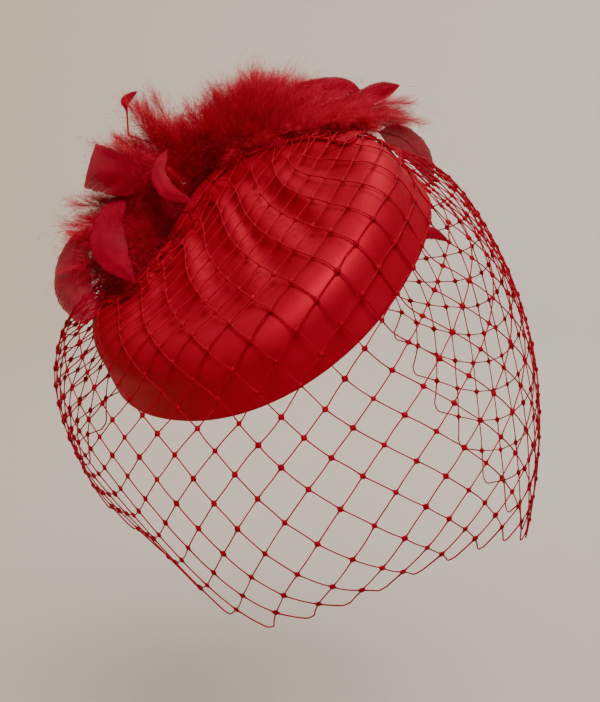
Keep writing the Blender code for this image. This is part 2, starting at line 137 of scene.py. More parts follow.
# Fine pleats of the satin that fan out from the gather: the share of the gather line, the
# way in degrees, the length in millimetres, and height and width as above.
PLEATS = [
    (0.20, -78, 20, 0.30, 0.28), (0.25, -68, 24, -0.40, 0.26), (0.30, -60, 26, 0.35, 0.28),
    (0.35, -54, 30, -0.45, 0.28), (0.40, -48, 28, 0.40, 0.28), (0.45, -44, 32, -0.40, 0.28),
    (0.50, -40, 30, 0.40, 0.28), (0.55, -36, 30, -0.40, 0.28), (0.60, -33, 30, 0.40, 0.28),
    (0.65, -30, 28, -0.40, 0.28), (0.70, -28, 26, 0.35, 0.28), (0.75, -27, 24, -0.35, 0.26),
    (0.80, -28, 20, 0.25, 0.26),
]

# Line of the gather on the top, in shares of the half length and half width of the plan
GATHER_LINE = [
    (-0.72, -0.12), (-0.68, -0.26), (-0.58, -0.36), (-0.48, -0.32), (-0.47, -0.16),
    (-0.50, 0.04), (-0.52, 0.24), (-0.49, 0.46), (-0.36, 0.66), (-0.10, 0.76),
    (0.16, 0.78), (0.32, 0.74), (0.42, 0.70), (0.47, 0.725), (0.455, 0.775),
]

# Drape lines of the veil, from its left end round the face to its right end behind the head.
# gather, belly_right, belly_back, belly_up, hem_right, hem_back, hem_up
DRAPES = [
    (0.000, -0.66, 0.36, -0.12, -0.50, 0.74, -0.30),
    (0.030, -0.74, 0.32, -0.20, -0.62, 0.64, -0.50),
    (0.070, -0.78, 0.26, -0.22, -0.71, 0.42, -0.69),
    (0.130, -0.77, 0.00, -0.28, -0.62, 0.11, -0.76),
    (0.200, -0.59, -0.32, -0.39, -0.38, -0.25, -0.84),
    (0.300, -0.33, -0.64, -0.44, -0.05, -0.61, -0.99),
    (0.420, 0.01, -0.86, -0.44, 0.25, -0.82, -0.87),
    (0.540, 0.29, -0.82, -0.33, 0.56, -0.75, -0.76),
    (0.660, 0.59, -0.61, -0.12, 0.84, -0.46, -0.74),
    (0.760, 0.81, -0.29, 0.03, 0.96, -0.14, -0.82),
    (0.850, 0.91, 0.18, 0.03, 0.96, 0.29, -0.86),
    (0.900, 0.85, 0.49, 0.15, 0.83, 0.64, -0.73),
    (0.950, 0.74, 0.67, 0.23, 0.60, 0.90, -0.42),
    (1.000, 0.48, 0.74, 0.35, 0.40, 0.96, -0.08),
]

# Where the net's top edge is caught: a share of its width, and the share of the gather line
CAUGHT = [(0.0, 0.0), (0.10, 0.14), (0.22, 0.34), (0.36, 0.72), (0.55, 0.92), (1.0, 1.0)]

# Broad feathers: the root as a share of the strip, or none where the first place is on the
# hat itself, four places along the quill and the half width at each, in millimetres, how far
# the vane is cupped, where its tip starts to narrow, and 1 for a thin open vane.
LEFT_VANES = [
    (0.45, (-62, 30, 54), (-75, 20, 58), (-86, 14, 62), (-97, 10, 66), (5.0, 11.0, 12.5, 12.5),
     0.12, 0.97, 1),
    (0.30, (-78, 26, 50), (-86, 8, 35), (-83, -10, 20), (-68, -22, 4), (3.0, 9.0, 9.0, 1.0),
     0.16, 0.86, 0),
    (0.00, (-98, 24, 31), (-106, 14, 15), (-105, 2, -2), (-94, -6, -18),
     (4.0, 9.0, 10.5, 7.5), 0.10, 0.95, 1),
    (0.70, (-55, 30, 73), (-59, 16, 62), (-53, 6, 52), (-38, 0, 46), (1.8, 4.4, 4.4, 0.8),
     0.16, 0.86, 0),
    (0.75, (-79, 54, 80), (-80, 58, 93), (-81, 60, 99), (-74, 62, 105), (0.5, 0.7, 2.8, 0.7),
     0.16, 0.86, 0),
]
RIGHT_VANES = [
    (0.20, (-6, 60, 95), (19, 70, 104), (42, 76, 107), (55, 78, 105), (3.0, 5.6, 6.0, 2.2),
     0.16, 0.90, 0),
    (0.70, (30, 58, 93), (53, 66, 100), (67, 72, 105), (78, 76, 108), (3.0, 5.2, 5.2, 1.2),
     0.14, 0.86, 0),
    (1.00, (64, 53, 82), (78, 56, 78), (88, 55, 68), (96, 50, 50), (5.0, 7.5, 6.5, 0.6),
     0.10, 0.86, 1),
    (None, (81, -42, 33), (87, -42, 34), (92, -41, 32), (97, -40, 29), (3.0, 3.2, 2.0, 0.4),
     0.12, 0.86, 0),
]

# Downy feathers: the root as a share of its strip, the tip of the quill in millimetres, how
# far the quill bows upwards and how long its down is in millimetres.
LEFT_DOWN = [
    (0.02, (-90, 10, -4), 2, 15),
    (0.06, (-99, 12, 6), 3, 15),
    (0.14, (-102, 16, 20), 3, 15),
    (0.22, (-101, 24, 34), 3, 15),
    (0.32, (-97, 34, 48), 3, 15),
    (0.42, (-86, 40, 62), 3, 16),
    (0.62, (-70, 57, 95), 3, 12),
    (0.62, (-70, 46, 76), 3, 16),
    (0.74, (-56, 50, 81), 3, 16),
    (0.86, (-43, 55, 83), 3, 16),
    (0.98, (-31, 60, 86), 3, 16),
    (0.50, (-82, 45, 72), 3, 13),
    (0.62, (-76, 52, 84), 3, 13),
    (0.10, (-86, 8, 14), 3, 14),
    (0.32, (-82, 26, 42), 3, 14),
    (0.50, (-72, 34, 56), 3, 14),
]
RIGHT_DOWN = [
    (0.02, (-22, 64, 94), 3, 16),
    (0.08, (-12, 69, 100), 3, 17),
    (0.16, (-1, 72, 104), 3, 17),
    (0.26, (10, 75, 104), 4, 17),
    (0.38, (22, 77, 100), 5, 14),
    (0.50, (37, 77, 96), 5, 13),
    (0.62, (51, 75, 94), 5, 12),
    (0.75, (67, 71, 89), 5, 11),
    (0.85, (79, 68, 90), 5, 11),
    (0.95, (84, 60, 82), 5, 9),
]

# Short down that hides the strips, in the same columns but with the tip measured from the root
LEFT_BASE = [
    (0.02, (-20, 0, 0), 2, 13), (0.14, (-20, 4, 8), 2, 13), (0.28, (-18, 4, 14), 2, 13),
    (0.42, (-16, 2, 18), 2, 13), (0.56, (-12, 2, 18), 2, 13), (0.70, (-8, 4, 18), 2, 13),
    (0.84, (-4, 6, 18), 2, 13), (1.00, (4, 4, 14), 2, 13),
    (1.00, (8, -2, 4), 1, 13), (0.80, (-8, 2, 10), 1, 10), (0.94, (-5, 4, 12), 1, 11),
    (0.06, (-14, -6, -6), 1, 12),
]
RIGHT_BASE = [
    (0.00, (-10, -2, 4), 1, 13), (0.00, (-6, 4, 14), 2, 13), (0.16, (0, 10, 16), 2, 13),
    (0.34, (4, 14, 14), 2, 12),
    (0.52, (8, 18, 12), 2, 11), (0.70, (12, 22, 8), 2, 10), (0.86, (18, 24, 6), 2, 9),
    (0.98, (24, 24, 2), 2, 8),
    (0.14, (2, -9, 2), 1, 9), (0.40, (3, -9, 1), 1, 8), (0.66, (5, -9, 1), 1, 8),
    (0.90, (14, -20, 3), 1, 8), (1.00, (26, -18, 3), 1, 9),
]


def clamp(value):
    return max(0.0, min(1.0, value))


def smooth_step(value):
    share = clamp(value)
    return share * share * (3.0 - 2.0 * share)


def through_rows(rows, keys, position):
    """A smooth value between table rows, by cubic pieces through all of them."""
    last = len(rows) - 1
    index = 0
    while index < last - 1 and position > keys[index + 1]:
        index += 1
    span = keys[index + 1] - keys[index]
    share = clamp((position - keys[index]) / span)

    def slope(row):
        before, after = max(row - 1, 0), min(row + 1, last)
        return (rows[after] - rows[before]) * (span / (keys[after] - keys[before]))

    start, end = rows[index], rows[index + 1]
    square, cube = share ** 2, share ** 3
    return (start * (2 * cube - 3 * square + 1) + slope(index) * (cube - 2 * square + share)
            + end * (3 * square - 2 * cube) + slope(index + 1) * (cube - square))


def distances(rows):
    """Distance of each row from the first, along the line through them."""
    run = [0.0]
    for start, end in zip(rows, rows[1:]):
        run.append(run[-1] + (end - start).length)
    return run


def even_keys(rows):
    """Keys from 0 to 1 in step with the distance between neighbouring rows."""
    run = distances(rows)
    return [distance / run[-1] for distance in run]


# Meshes

def link_object(name, data):
    holder = bpy.data.objects.new(name, data)
    bpy.context.scene.collection.objects.link(holder)
    return holder


def add_piece(name, mesh, materials, nodes):
    """Link a mesh as a piece of the hat, in place of the named solids."""
    piece = link_object(name, mesh)
    for material in materials:
        mesh.materials.append(material)
    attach(piece, "root")
    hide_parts(*nodes)


def plain_mesh(bm, name):
    mesh = bpy.data.meshes.new(name)
    bm.to_mesh(mesh)
    bm.free()
    return mesh


def mesh_from(bm, name, sharp_angle=50):
    """A smooth mesh with edges sharper than an angle in degrees kept sharp."""
    mesh = plain_mesh(bm, name)
    mesh.shade_smooth()
    mesh.set_sharp_from_angle(angle=math.radians(sharp_angle))
    return mesh


def mesh_from_lines(name, lines, depth, resolution):
    """Round tapered tubes along lists of (place, radius share), as one mesh."""
    curve = bpy.data.curves.new(name, "CURVE")
    curve.dimensions = "3D"
    curve.bevel_depth = depth
    curve.bevel_resolution = resolution
    curve.use_fill_caps = True
    for line in lines:
        spline = curve.splines.new("POLY")
        spline.points.add(len(line) - 1)
        spline.points.foreach_set("co", [c for place, _ in line for c in (*place, 1.0)])
        spline.points.foreach_set("radius", [radius for _, radius in line])
    holder = link_object(name, curve)
    mesh = bpy.data.meshes.new_from_object(holder)
    bpy.data.objects.remove(holder, do_unlink=True)
    bpy.data.curves.remove(curve)
    mesh.name = name
    mesh.shade_smooth()
    return mesh


def read_values(items, field, kind, width=1):
    values = np.empty(len(items) * width, kind)
    items.foreach_get(field, values)
    return values


def join_copies(name, templates, places):
    """One mesh of placed copies.  places holds (template index, matrix, shade)."""
    corners, loops, starts, totals, shades = [], [], [], [], []
    first_vert, first_loop = 0, 0
    for index, template in enumerate(templates):
        mine = [place for place in places if place[0] == index]
        if not mine:
            continue
        count = len(template.vertices)
        local = read_values(template.vertices, "co", np.float32, 3).reshape(-1, 3)
        local = np.c_[local, np.ones(count, np.float32)]
        edge = read_values(template.loops, "vertex_index", np.int32)
        sides = read_values(template.polygons, "loop_total", np.int32)
        begin = read_values(template.polygons, "loop_start", np.int32)
        matrices = np.array([[list(row) for row in place[1]] for place in mine], np.float32)
        corners.append(np.einsum("mij,vj->mvi", matrices, local)[:, :, :3].reshape(-1, 3))
        steps = np.arange(len(mine), dtype=np.int32)[:, None]
        loops.append((edge[None, :] + steps * count + first_vert).reshape(-1))
        starts.append((begin[None, :] + steps * len(edge) + first_loop).reshape(-1))
        totals.append(np.tile(sides, len(mine)))
        shades.append(np.repeat(np.array([place[2] for place in mine], np.float32), count))
        first_vert += count * len(mine)
        first_loop += len(edge) * len(mine)
    mesh = bpy.data.meshes.new(name)
    corners, loops = np.concatenate(corners), np.concatenate(loops)
    mesh.vertices.add(len(corners))
    mesh.vertices.foreach_set("co", corners.reshape(-1))
    mesh.loops.add(len(loops))
    mesh.loops.foreach_set("vertex_index", loops)
    starts, totals = np.concatenate(starts), np.concatenate(totals)
    mesh.polygons.add(len(starts))
    mesh.polygons.foreach_set("loop_start", starts)
    mesh.polygons.foreach_set("loop_total", totals)
    mesh.update(calc_edges=True)
    shade = mesh.attributes.new("shade", "FLOAT", "POINT")
    shade.data.foreach_set("value", np.concatenate(shades))
    mesh.shade_smooth()
    return mesh


def join_meshes(name, meshes):
    """Join meshes that share a material into one."""
    bm = bmesh.new()
    for mesh in meshes:
        bm.from_mesh(mesh)
        bpy.data.meshes.remove(mesh)
    return plain_mesh(bm, name)


# Shape of the crown

def plan_radius(angle):
    along = abs(math.cos(angle)) / (HAT_LENGTH / 2)
    across = abs(math.sin(angle)) / (HAT_WIDTH / 2)
    radius = (along ** PLAN_POWER + across ** PLAN_POWER) ** (-1.0 / PLAN_POWER)
    return radius * (1.0 + PLAN_EGG * math.cos(angle) * math.sin(angle) ** 2)


def top_radius(angle):
    return plan_radius(angle) - WALL_TAPER - LIP_RADIUS


def plan_ridges(rows):
    """Ridges from rows in shares of the plan, as (start, along, height, width)."""
    ridges = []
    for from_x, from_y, to_x, to_y, height, width in rows:
        start = Vector((from_x * HAT_LENGTH / 2, from_y * HAT_WIDTH / 2))
        end = Vector((to_x * HAT_LENGTH / 2, to_y * HAT_WIDTH / 2))
        ridges.append((start, end - start, height * FOLD_HEIGHT, width * FOLD_WIDTH))
    return ridges


FOLD_RIDGES = plan_ridges(FOLDS)


def ridges_height(here, ridges, fading=False):
    """Height of the ridges at a place on the top, with fading ones full at their start."""
    total = 0.0
    for start, along, height, width in ridges:
        offset = here - start
        share = offset.dot(along) / along.length_squared
        reach = clamp(share)
        distance = (offset - along * reach).length
        if distance > 3.0 * width:
            continue
        level = math.exp(-(distance / width) ** 2)
        if fading:
            level *= smooth_step(2.0 * (1.0 - reach)) * smooth_step(1.0 + 5.0 * min(share, 0.0))
        total += height * level
    return total


def dish_drop(share):
    return DISH_DEPTH * smooth_step((1.0 - share) / DISH_SHOULDER)


def crown_height(x, y):
    """Height of the satin over the rim plane at a place on the top or the lip."""
    angle = math.atan2(y, x)
    radius = math.hypot(x, y)
    inner = top_radius(angle)
    if radius > inner:
        over = min(radius - inner, LIP_RADIUS)
        return WALL_TOP + math.sqrt(LIP_RADIUS ** 2 - over ** 2)
    share = radius / inner
    fade = smooth_step((1.0 - share) / TOP_EASE)
    return HAT_HEIGHT - dish_drop(share) + fade * ridges_height(Vector((x, y)), FOLD_RIDGES)


def grow_ring(bm, ring):
    """A new ring of points joined by faces to the last one."""
    edges = [bm.edges.get((ring[i], ring[(i + 1) % len(ring)])) for i in range(len(ring))]
    grown = bmesh.ops.extrude_edge_only(bm, edges=edges)["geom"]
    fresh = {v for v in grown if isinstance(v, bmesh.types.BMVert)}
    partner = {}
    for vert in fresh:
        for edge in vert.link_edges:
            other = edge.other_vert(vert)
            if other not in fresh:
                partner[other] = vert
    return [partner[vert] for vert in ring]


def wall_ring(inset, height):
    """A ring at a distance inside the plan's outline, at a height over the rim."""
    return lambda angle: (plan_radius(angle) - inset, height)


def top_ring(share, height=None):
    """A ring at a share of the top's radius, on the draped satin if it has no height."""
    return lambda angle: (share * top_radius(angle), height)


def lip_rings(radius, steps):
    """Rings round the lip at a radius from the line that it is rounded about."""
    turns = [math.radians(90) * step / steps for step in range(1, steps)]
    return [wall_ring(WALL_TAPER + LIP_RADIUS - radius * math.cos(turn),
                      WALL_TOP + radius * math.sin(turn)) for turn in turns]


def outside_rings(wall_steps, lip_steps, top_steps):
    """Rings of the cover from the rim to the centre, as functions of the plan angle."""
    roll = 0.3 * WALL_THICKNESS
    rings = []
    for step in range(4):
        turn = math.radians(30 * step)
        rings.append(wall_ring(roll * (1 - math.sin(turn)), roll * (1 - math.cos(turn))))
    for step in range(1, wall_steps + 1):
        height = roll + (WALL_TOP - roll) * (step / wall_steps)
        rings.append(wall_ring(WALL_TAPER * height / WALL_TOP, height))
    rings += lip_rings(LIP_RADIUS, lip_steps)
    return rings + [top_ring(1.0 - step / top_steps) for step in range(top_steps)]


def inside_rings(wall_steps, lip_steps, top_steps):
    """Rings of the hollow from the rim to the centre."""
    rings = []
    for step in range(wall_steps + 1):
        height = WALL_TOP * step / wall_steps
        rings.append(wall_ring(WALL_THICKNESS + WALL_TAPER * height / WALL_TOP, height))
    rings += lip_rings(LIP_RADIUS - WALL_THICKNESS, lip_steps)
    for step in range(top_steps):
        share = 1.0 - step / top_steps
        drop = dish_drop(share) + 0.5 * FOLD_HEIGHT * smooth_step((1.0 - share) / TOP_EASE)
        rings.append(top_ring(share, HAT_HEIGHT - WALL_THICKNESS - drop))
    return rings


def satin_ripple(place):
    """Fine unevenness of the stretched satin: long soft waves along the folds."""
    x, y, z = place
    diagonal = 0.7071
    lengthwise, crosswise = (x - y) * diagonal, (x + y) * diagonal
    soft = noise.noise(Vector((lengthwise * 16.0, crosswise * 46.0, z * 30.0)))
    broad = noise.noise(Vector((x * 26.0, y * 26.0, z * 26.0 + 5.0)))
    return 0.00032 * soft + 0.00030 * broad


def build_crown_cover(segments):
    bm = bmesh.new()
    bmesh.ops.create_circle(bm, segments=segments, radius=HAT_LENGTH / 2)
    bm.verts.ensure_lookup_table()
    rim = list(bm.verts)

    def lay(ring, ring_of):
        for index, vert in enumerate(ring):
            angle = math.tau * index / len(ring)
            radius, height = ring_of(angle)
            x, y = radius * math.cos(angle), radius * math.sin(angle)
            vert.co = (x, y, crown_height(x, y) if height is None else height)

    def shell(rings, centre):
        ring = rim
        for ring_of in rings:
            ring = grow_ring(bm, ring)
            lay(ring, ring_of)
        last = grow_ring(bm, ring)
        bmesh.ops.pointmerge(bm, verts=last, merge_co=(0.0, 0.0, centre))

    outside = outside_rings(10, 16, 58)
    inside = inside_rings(6, 6, 16)
    lay(rim, outside[0])
    shell(outside[1:], crown_height(0.0, 0.0))
    cover = set(bm.faces)
    shell(inside, HAT_HEIGHT - WALL_THICKNESS - DISH_DEPTH - 0.5 * FOLD_HEIGHT)
    for face in bm.faces:
        face.material_index = 0 if face in cover else 1
    bmesh.ops.recalc_face_normals(bm, faces=bm.faces)
    bm.normal_update()
    outer = {vert for face in cover for vert in face.verts} - set(rim)
    pleats = plan_ridges(CREASES) + pleat_ridges()
    for vert in outer:
        x, y, z = vert.co
        share = math.hypot(x, y) / top_radius(math.atan2(y, x))
        inner = smooth_step((1.0 - share) / TOP_EASE)
        lift = satin_ripple(vert.co) * smooth_step(z / 0.006)
        vert.co.z += inner * ridges_height(Vector((x, y)), pleats, True)
        vert.co += vert.normal * lift
    place = bm.verts.layers.float_vector.new("cloth_place")
    for vert in bm.verts:
        vert[place] = vert.co
    bmesh.ops.transform(bm, matrix=WORN_TILT, verts=bm.verts)
    return bm


# Line of the gather and the drape of the veil

def plan_points(line):
    return [Vector((x * HAT_LENGTH / 2, y * HAT_WIDTH / 2, 0.0)) for x, y in line]


GATHER_ROWS = plan_points(GATHER_LINE)
GATHER_KEYS = even_keys(GATHER_ROWS)


def gather_plan(share):
    return through_rows(GATHER_ROWS, GATHER_KEYS, share)


def pleat_ridges():
    """The fine pleats, each from its place on the gather."""
    ridges = []
    for share, way, length, height, width in PLEATS:
        turn = math.radians(way)
        along = Vector((math.cos(turn), math.sin(turn))) * length / 1000.0
        ridges.append((gather_plan(share).xy, along, height * FOLD_HEIGHT, width * FOLD_WIDTH))
    return ridges


def gather_outward(share):
    along = gather_plan(min(share + 0.01, 1.0)) - gather_plan(max(share - 0.01, 0.0))
    return Vector((-along.y, along.x, 0.0)).normalized()


def on_crown(place, lift):
    return WORN_TILT @ Vector((place.x, place.y, crown_height(place.x, place.y) + lift))


def hat_distance(point):
    """Distance of a point from the hat's rounded outside, and the way out of it."""
    place = TILT_BACK @ point
    angle = math.atan2(place.y, place.x)
    outward = Vector((math.cos(angle), math.sin(angle), 0.0))
    upward = Vector((0.0, 0.0, 1.0))
    across = math.hypot(place.x, place.y) - top_radius(angle)
    above = place.z - WALL_TOP
    if across > 0.0 and above > 0.0:
        reach = math.hypot(across, above)
        away, distance = (outward * across + upward * above) / reach, reach - LIP_RADIUS
    elif across > above:
        away, distance = outward, across - LIP_RADIUS
    else:
        away, distance = upward, above - LIP_RADIUS
    if place.z < 0.0:
        distance = math.hypot(max(distance, 0.0), place.z)
    return distance, WORN_TILT @ away


def lift_clear(point, lift):
    distance, away = hat_distance(point)
    return point + away * max(lift - distance, 0.0)


def bow_place(bow, share):
    """A place along a bow from its start to its end, led by a third place."""
    start, lead, end = bow
    return start.lerp(lead, share).lerp(lead.lerp(end, share), share)


def drape_table():
    gathers, bellies, hems = [], [], []
    for gather, *places in DRAPES:
        gathers.append(gather)
        for rows, (right, back, up) in ((bellies, places[:3]), (hems, places[3:])):
            rows.append(Vector((right * VEIL_HALF_WIDTH, back * VEIL_HALF_DEPTH, up * VEIL_DROP)))
    return gathers, bellies, hems, even_keys(hems)


def drape_line(across, table, full_lift):
    """Points of one drape line from the gather over the hat, out to the belly and the hem."""
    gathers, bellies, hems, keys = table
    start = on_crown(gather_plan(through_rows(gathers, keys, across)), GATHER_LIFT)
    belly = through_rows(bellies, keys, across)
    hem = through_rows(hems, keys, across)
    lead = belly * 2.0 - (start + hem) * 0.5
    first_lift = hat_distance(start)[0]
    lifts, line = [], []
    for index in range(DRAPE_STEPS + 1):
        share = index / DRAPE_STEPS
        ease = smooth_step(share / GATHER_SPREAD)
        lifts.append(first_lift + (full_lift - first_lift) * ease)
        line.append(bow_place((start, lead, hem), share))
    touching = [index for index in range(DRAPE_STEPS)
                if hat_distance(line[index])[0] < lifts[index]]
    last = min(max(touching, default=0) + 2, DRAPE_STEPS)
    slack = smooth_step((across - SLACK_FROM) / SLACK_SPREAD)
    for _ in range(round(TAUT_PASSES * (1.0 - 0.9 * slack))):
        for index in range(1, last):
            middle = (line[index - 1] + line[index + 1]) / 2
            line[index] = lift_clear(middle, lifts[index])
    return line


class VeilSurface:
    """The draped veil as a fine table of places, read at shares across and down."""

    def __init__(self, columns, full_lift):
        table = drape_table()
        count = columns * 4
        rows = []
        for index in range(count + 1):
            line = drape_line(index / count, table, full_lift)
            dip = math.exp(-((index / count - DIP_PLACE) / DIP_SPREAD) ** 2)
            low = HEM_DROP + HEM_DIP * dip
            line.append(line[-1] + (line[-1] - line[-2]).normalized() * low)
            keys = even_keys(line)
            rows.append([through_rows(line, keys, step / 96) for step in range(97)])
        self.table = np.array(rows, float)

    def places(self, shares):
        """Places at rows of (across, down)."""
        across_last, down_last = self.table.shape[0] - 1, self.table.shape[1] - 1
        x = np.clip(shares[:, 0], 0.0, 1.0) * across_last
        y = np.clip(shares[:, 1], 0.0, 1.0) * down_last
        i = np.minimum(x.astype(int), across_last - 1)
        j = np.minimum(y.astype(int), down_last - 1)
        x, y = (x - i)[:, None], (y - j)[:, None]
        table = self.table
        return ((table[i, j] * (1 - x) + table[i + 1, j] * x) * (1 - y)
                + (table[i, j + 1] * (1 - x) + table[i + 1, j + 1] * x) * y)

    def slopes(self, shares, step=0.004):
        """How the places change across and down."""
        slopes = []
        for axis in (0, 1):
            ahead, behind = shares.copy(), shares.copy()
            ahead[:, axis] = np.minimum(ahead[:, axis] + step, 1.0)
            behind[:, axis] = np.maximum(behind[:, axis] - step, 0.0)
            run = (ahead[:, axis] - behind[:, axis])[:, None]
            slopes.append((self.places(ahead) - self.places(behind)) / run)
        return slopes


def settle_net(surface, shares, edges, strand_length):
    """Slide the knots over the veil until the strands come near their length."""
    top, hem = shares[:, 1] < 0.001, shares[:, 1] > 0.999
    ends = (shares[:, 0] < 0.001) | (shares[:, 0] > 0.999)
    a, b = edges[:, 0], edges[:, 1]
    at_edge = (top | hem)[edges].any(1)[:, None]
    share_of = 1.0 / np.bincount(edges.reshape(-1), minlength=len(shares))[:, None]
    for _ in range(SETTLE_PASSES):
        places = surface.places(shares)
        span = places[b] - places[a]
        length = np.linalg.norm(span, axis=1, keepdims=True)
        excess = 1.0 - strand_length / length
        slack = np.where(excess > 0.0, excess, excess * PUSH_SHARE) + STEADY_PULL
        pull = span * np.where(at_edge, excess, slack) * 0.5
        force = np.zeros_like(places)
        np.add.at(force, a, pull)
        np.add.at(force, b, -pull)
        force *= share_of
        across, down = surface.slopes(shares)
        aa, dd = (across ** 2).sum(1), (down ** 2).sum(1)
        ad = (across * down).sum(1)
        fa, fd = (across * force).sum(1), (down * force).sum(1)
        room = np.maximum(aa * dd - ad ** 2, 1e-12)
        step_across = np.where(top | ends, 0.0, (fa * dd - fd * ad) / room)
        step_across = np.where(hem & ~ends, fa / aa, step_across)
        step_down = np.where(top | hem, 0.0, (fd * aa - fa * ad) / room)
        step_down = np.where(ends & ~top & ~hem, fd / dd, step_down)
        shares[:, 0] += np.clip(step_across, -STEP_ACROSS, STEP_ACROSS)
        shares[:, 1] += np.clip(step_down, -STEP_DOWN, STEP_DOWN)
        shares = np.clip(shares, 0.0, 1.0)
    return shares


def net_grid(columns, rows):
    """A flat grid of diamonds as a bmesh, its x from 0 to 1 across and its y from 0 to 1 down."""
    bm = bmesh.new()
    bmesh.ops.create_grid(bm, x_segments=columns, y_segments=rows, size=0.5)
    square_edges = [edge for edge in bm.edges if len(edge.link_faces) == 2]
    bmesh.ops.poke(bm, faces=bm.faces[:])
    bmesh.ops.dissolve_edges(bm, edges=square_edges, use_verts=False)
    halves = [face for face in bm.faces if len(face.verts) == 3]
    bmesh.ops.delete(bm, geom=halves, context="FACES")
    for vert in bm.verts:
        vert.co = (vert.co.x + 0.5, 0.5 - vert.co.y, 0.0)
    return bm


def gather_start(across):
    """Where on the veil's top edge the net is caught, at a share of its full width."""
    gathers, _, _, keys = drape_table()
    caught = np.interp(across, [share for share, _ in CAUGHT], [place for _, place in CAUGHT])
    steps = [step / 200 for step in range(201)]
    return np.interp(caught, [through_rows(gathers, keys, step) for step in steps], steps)


def is_tip(vert):
    """True for a knot at the hem or at an end of the net, where only two strands meet."""
    return len(vert.link_edges) == 2 and (
        vert.co.y > 0.999 or vert.co.x < 0.001 or vert.co.x > 0.999)


class SettledNet:
    """The flat net laid on the veil and settled, read at its knots."""

    def __init__(self, bm, look):
        self.surface = VeilSurface(look.columns, look.lift)
        self.flare = look.knot_size / 2
        flat = np.array([(vert.co.x, vert.co.y) for vert in bm.verts])
        ease = (1.0 - np.clip(flat[:, 1] / 0.75, 0.0, 1.0)) ** 1.2
        across = flat[:, 0] + (gather_start(flat[:, 0]) - flat[:, 0]) * ease
        edges = np.array([[vert.index for vert in edge.verts] for edge in bm.edges])
        self.shares = settle_net(self.surface, np.c_[across, flat[:, 1]], edges,
                                 look.strand_length)
        self.across, self.down = self.surface.slopes(self.shares)
        self.places = self.surface.places(self.shares)

    def outward(self, index):
        return np.cross(self.down[index], self.across[index])

    def strand(self, start, end, steps, bow):
        """Places of a strand between two knots, bowed sideways by a share of its length."""
        reach = np.linspace(0.0, 1.0, steps + 1)[:, None]
        run = self.surface.places(self.shares[start] * (1.0 - reach)
                                  + self.shares[end] * reach)
        side = np.cross(self.outward(start), run[-1] - run[0])
        side *= bow / np.linalg.norm(self.outward(start))
        run += side * np.sin(math.pi * reach)
        return [Vector(point) for point in run]

    def hem_loop(self, vert):
        """Places of the rounded loop through a tip, from the knot before to the one after."""
        before, after = (edge.other_vert(vert) for edge in vert.link_edges)
        points = (self.strand(before.index, vert.index, 8, 0.02)
                  + self.strand(vert.index, after.index, 8, 0.02)[1:])
        for _ in range(2):
            for index in range(7, len(points) - 7):
                points[index] = (points[index - 1] + points[index + 1]) / 2
        return points

    def with_flare(self, points, thick=1.0):
        """The points with radii that swell towards the knots at both ends."""
        run = distances(points)
        line = []
        for distance, point in zip(run, points):
            swell = math.exp(-(min(distance, run[-1] - distance) / self.flare) ** 2)
            line.append((point, (1.0 + 0.9 * swell) * thick))
        return line

    def knot(self, vert):
        """Place, way along a strand, way outward and size of a knot, smaller at the gather."""
        here, there = vert.index, vert.link_edges[0].other_vert(vert).index
        along = Vector(self.places[there] - self.places[here]).normalized()
        size = 0.70 + 0.30 * smooth_step((vert.co.y - 0.04) / 0.35)
        return Vector(self.places[here]), along, Vector(self.outward(here)).normalized(), size


def veil_lines(look):
    """Strands as lists of (place, radius share), knots as (place, along, outward, size), and
    the net's top edge as (place, share across)."""
    draw = random.Random(11)
    bm = net_grid(look.columns, look.rows)
    bm.verts.index_update()
    net = SettledNet(bm, look)
    strands, knots, tops = [], [], []
    for edge in bm.edges:
        start, end = edge.verts
        if not is_tip(start) and not is_tip(end):
            bow = draw.uniform(-0.02, 0.02)
            strands.append(net.with_flare(net.strand(start.index, end.index, 7, bow)))
    for vert in bm.verts:
        if is_tip(vert):
            strands.append(net.with_flare(net.hem_loop(vert), 1.15))
        elif vert.co.y > 0.001:
            knots.append(net.knot(vert))
        if vert.co.y < 0.001:
            tops.append((Vector(net.places[vert.index]), float(net.shares[vert.index][0])))
    bm.free()
    return strands, knots, tops


def knot_template():
    """A squarish drawn-tight knot of unit size."""
    bm = bmesh.new()
    bmesh.ops.create_uvsphere(bm, u_segments=8, v_segments=5, radius=0.5)
    for vert in bm.verts:
        x, y, z = vert.co
        turn = math.atan2(y, x)
        square = (abs(math.cos(turn)) ** 1.25 + abs(math.sin(turn)) ** 1.25) ** (-1.0 / 1.25)
        bump = 1.0 + 0.16 * noise.noise(Vector((x, y, z)) * 7.0)
        vert.co = (x * square * 1.12 * bump, y * square * 1.12 * bump, z * 0.62 * bump)
    return mesh_from(bm, "knot", 180)


def turn_to(direction, upward):
    """A rotation whose x runs along direction and whose z leans to upward."""
    x = direction.normalized()
    y = upward.cross(x)
    if y.length < 1e-6:
        y = x.orthogonal()
    y.normalize()
    return Matrix((x, y, x.cross(y))).transposed().to_4x4()


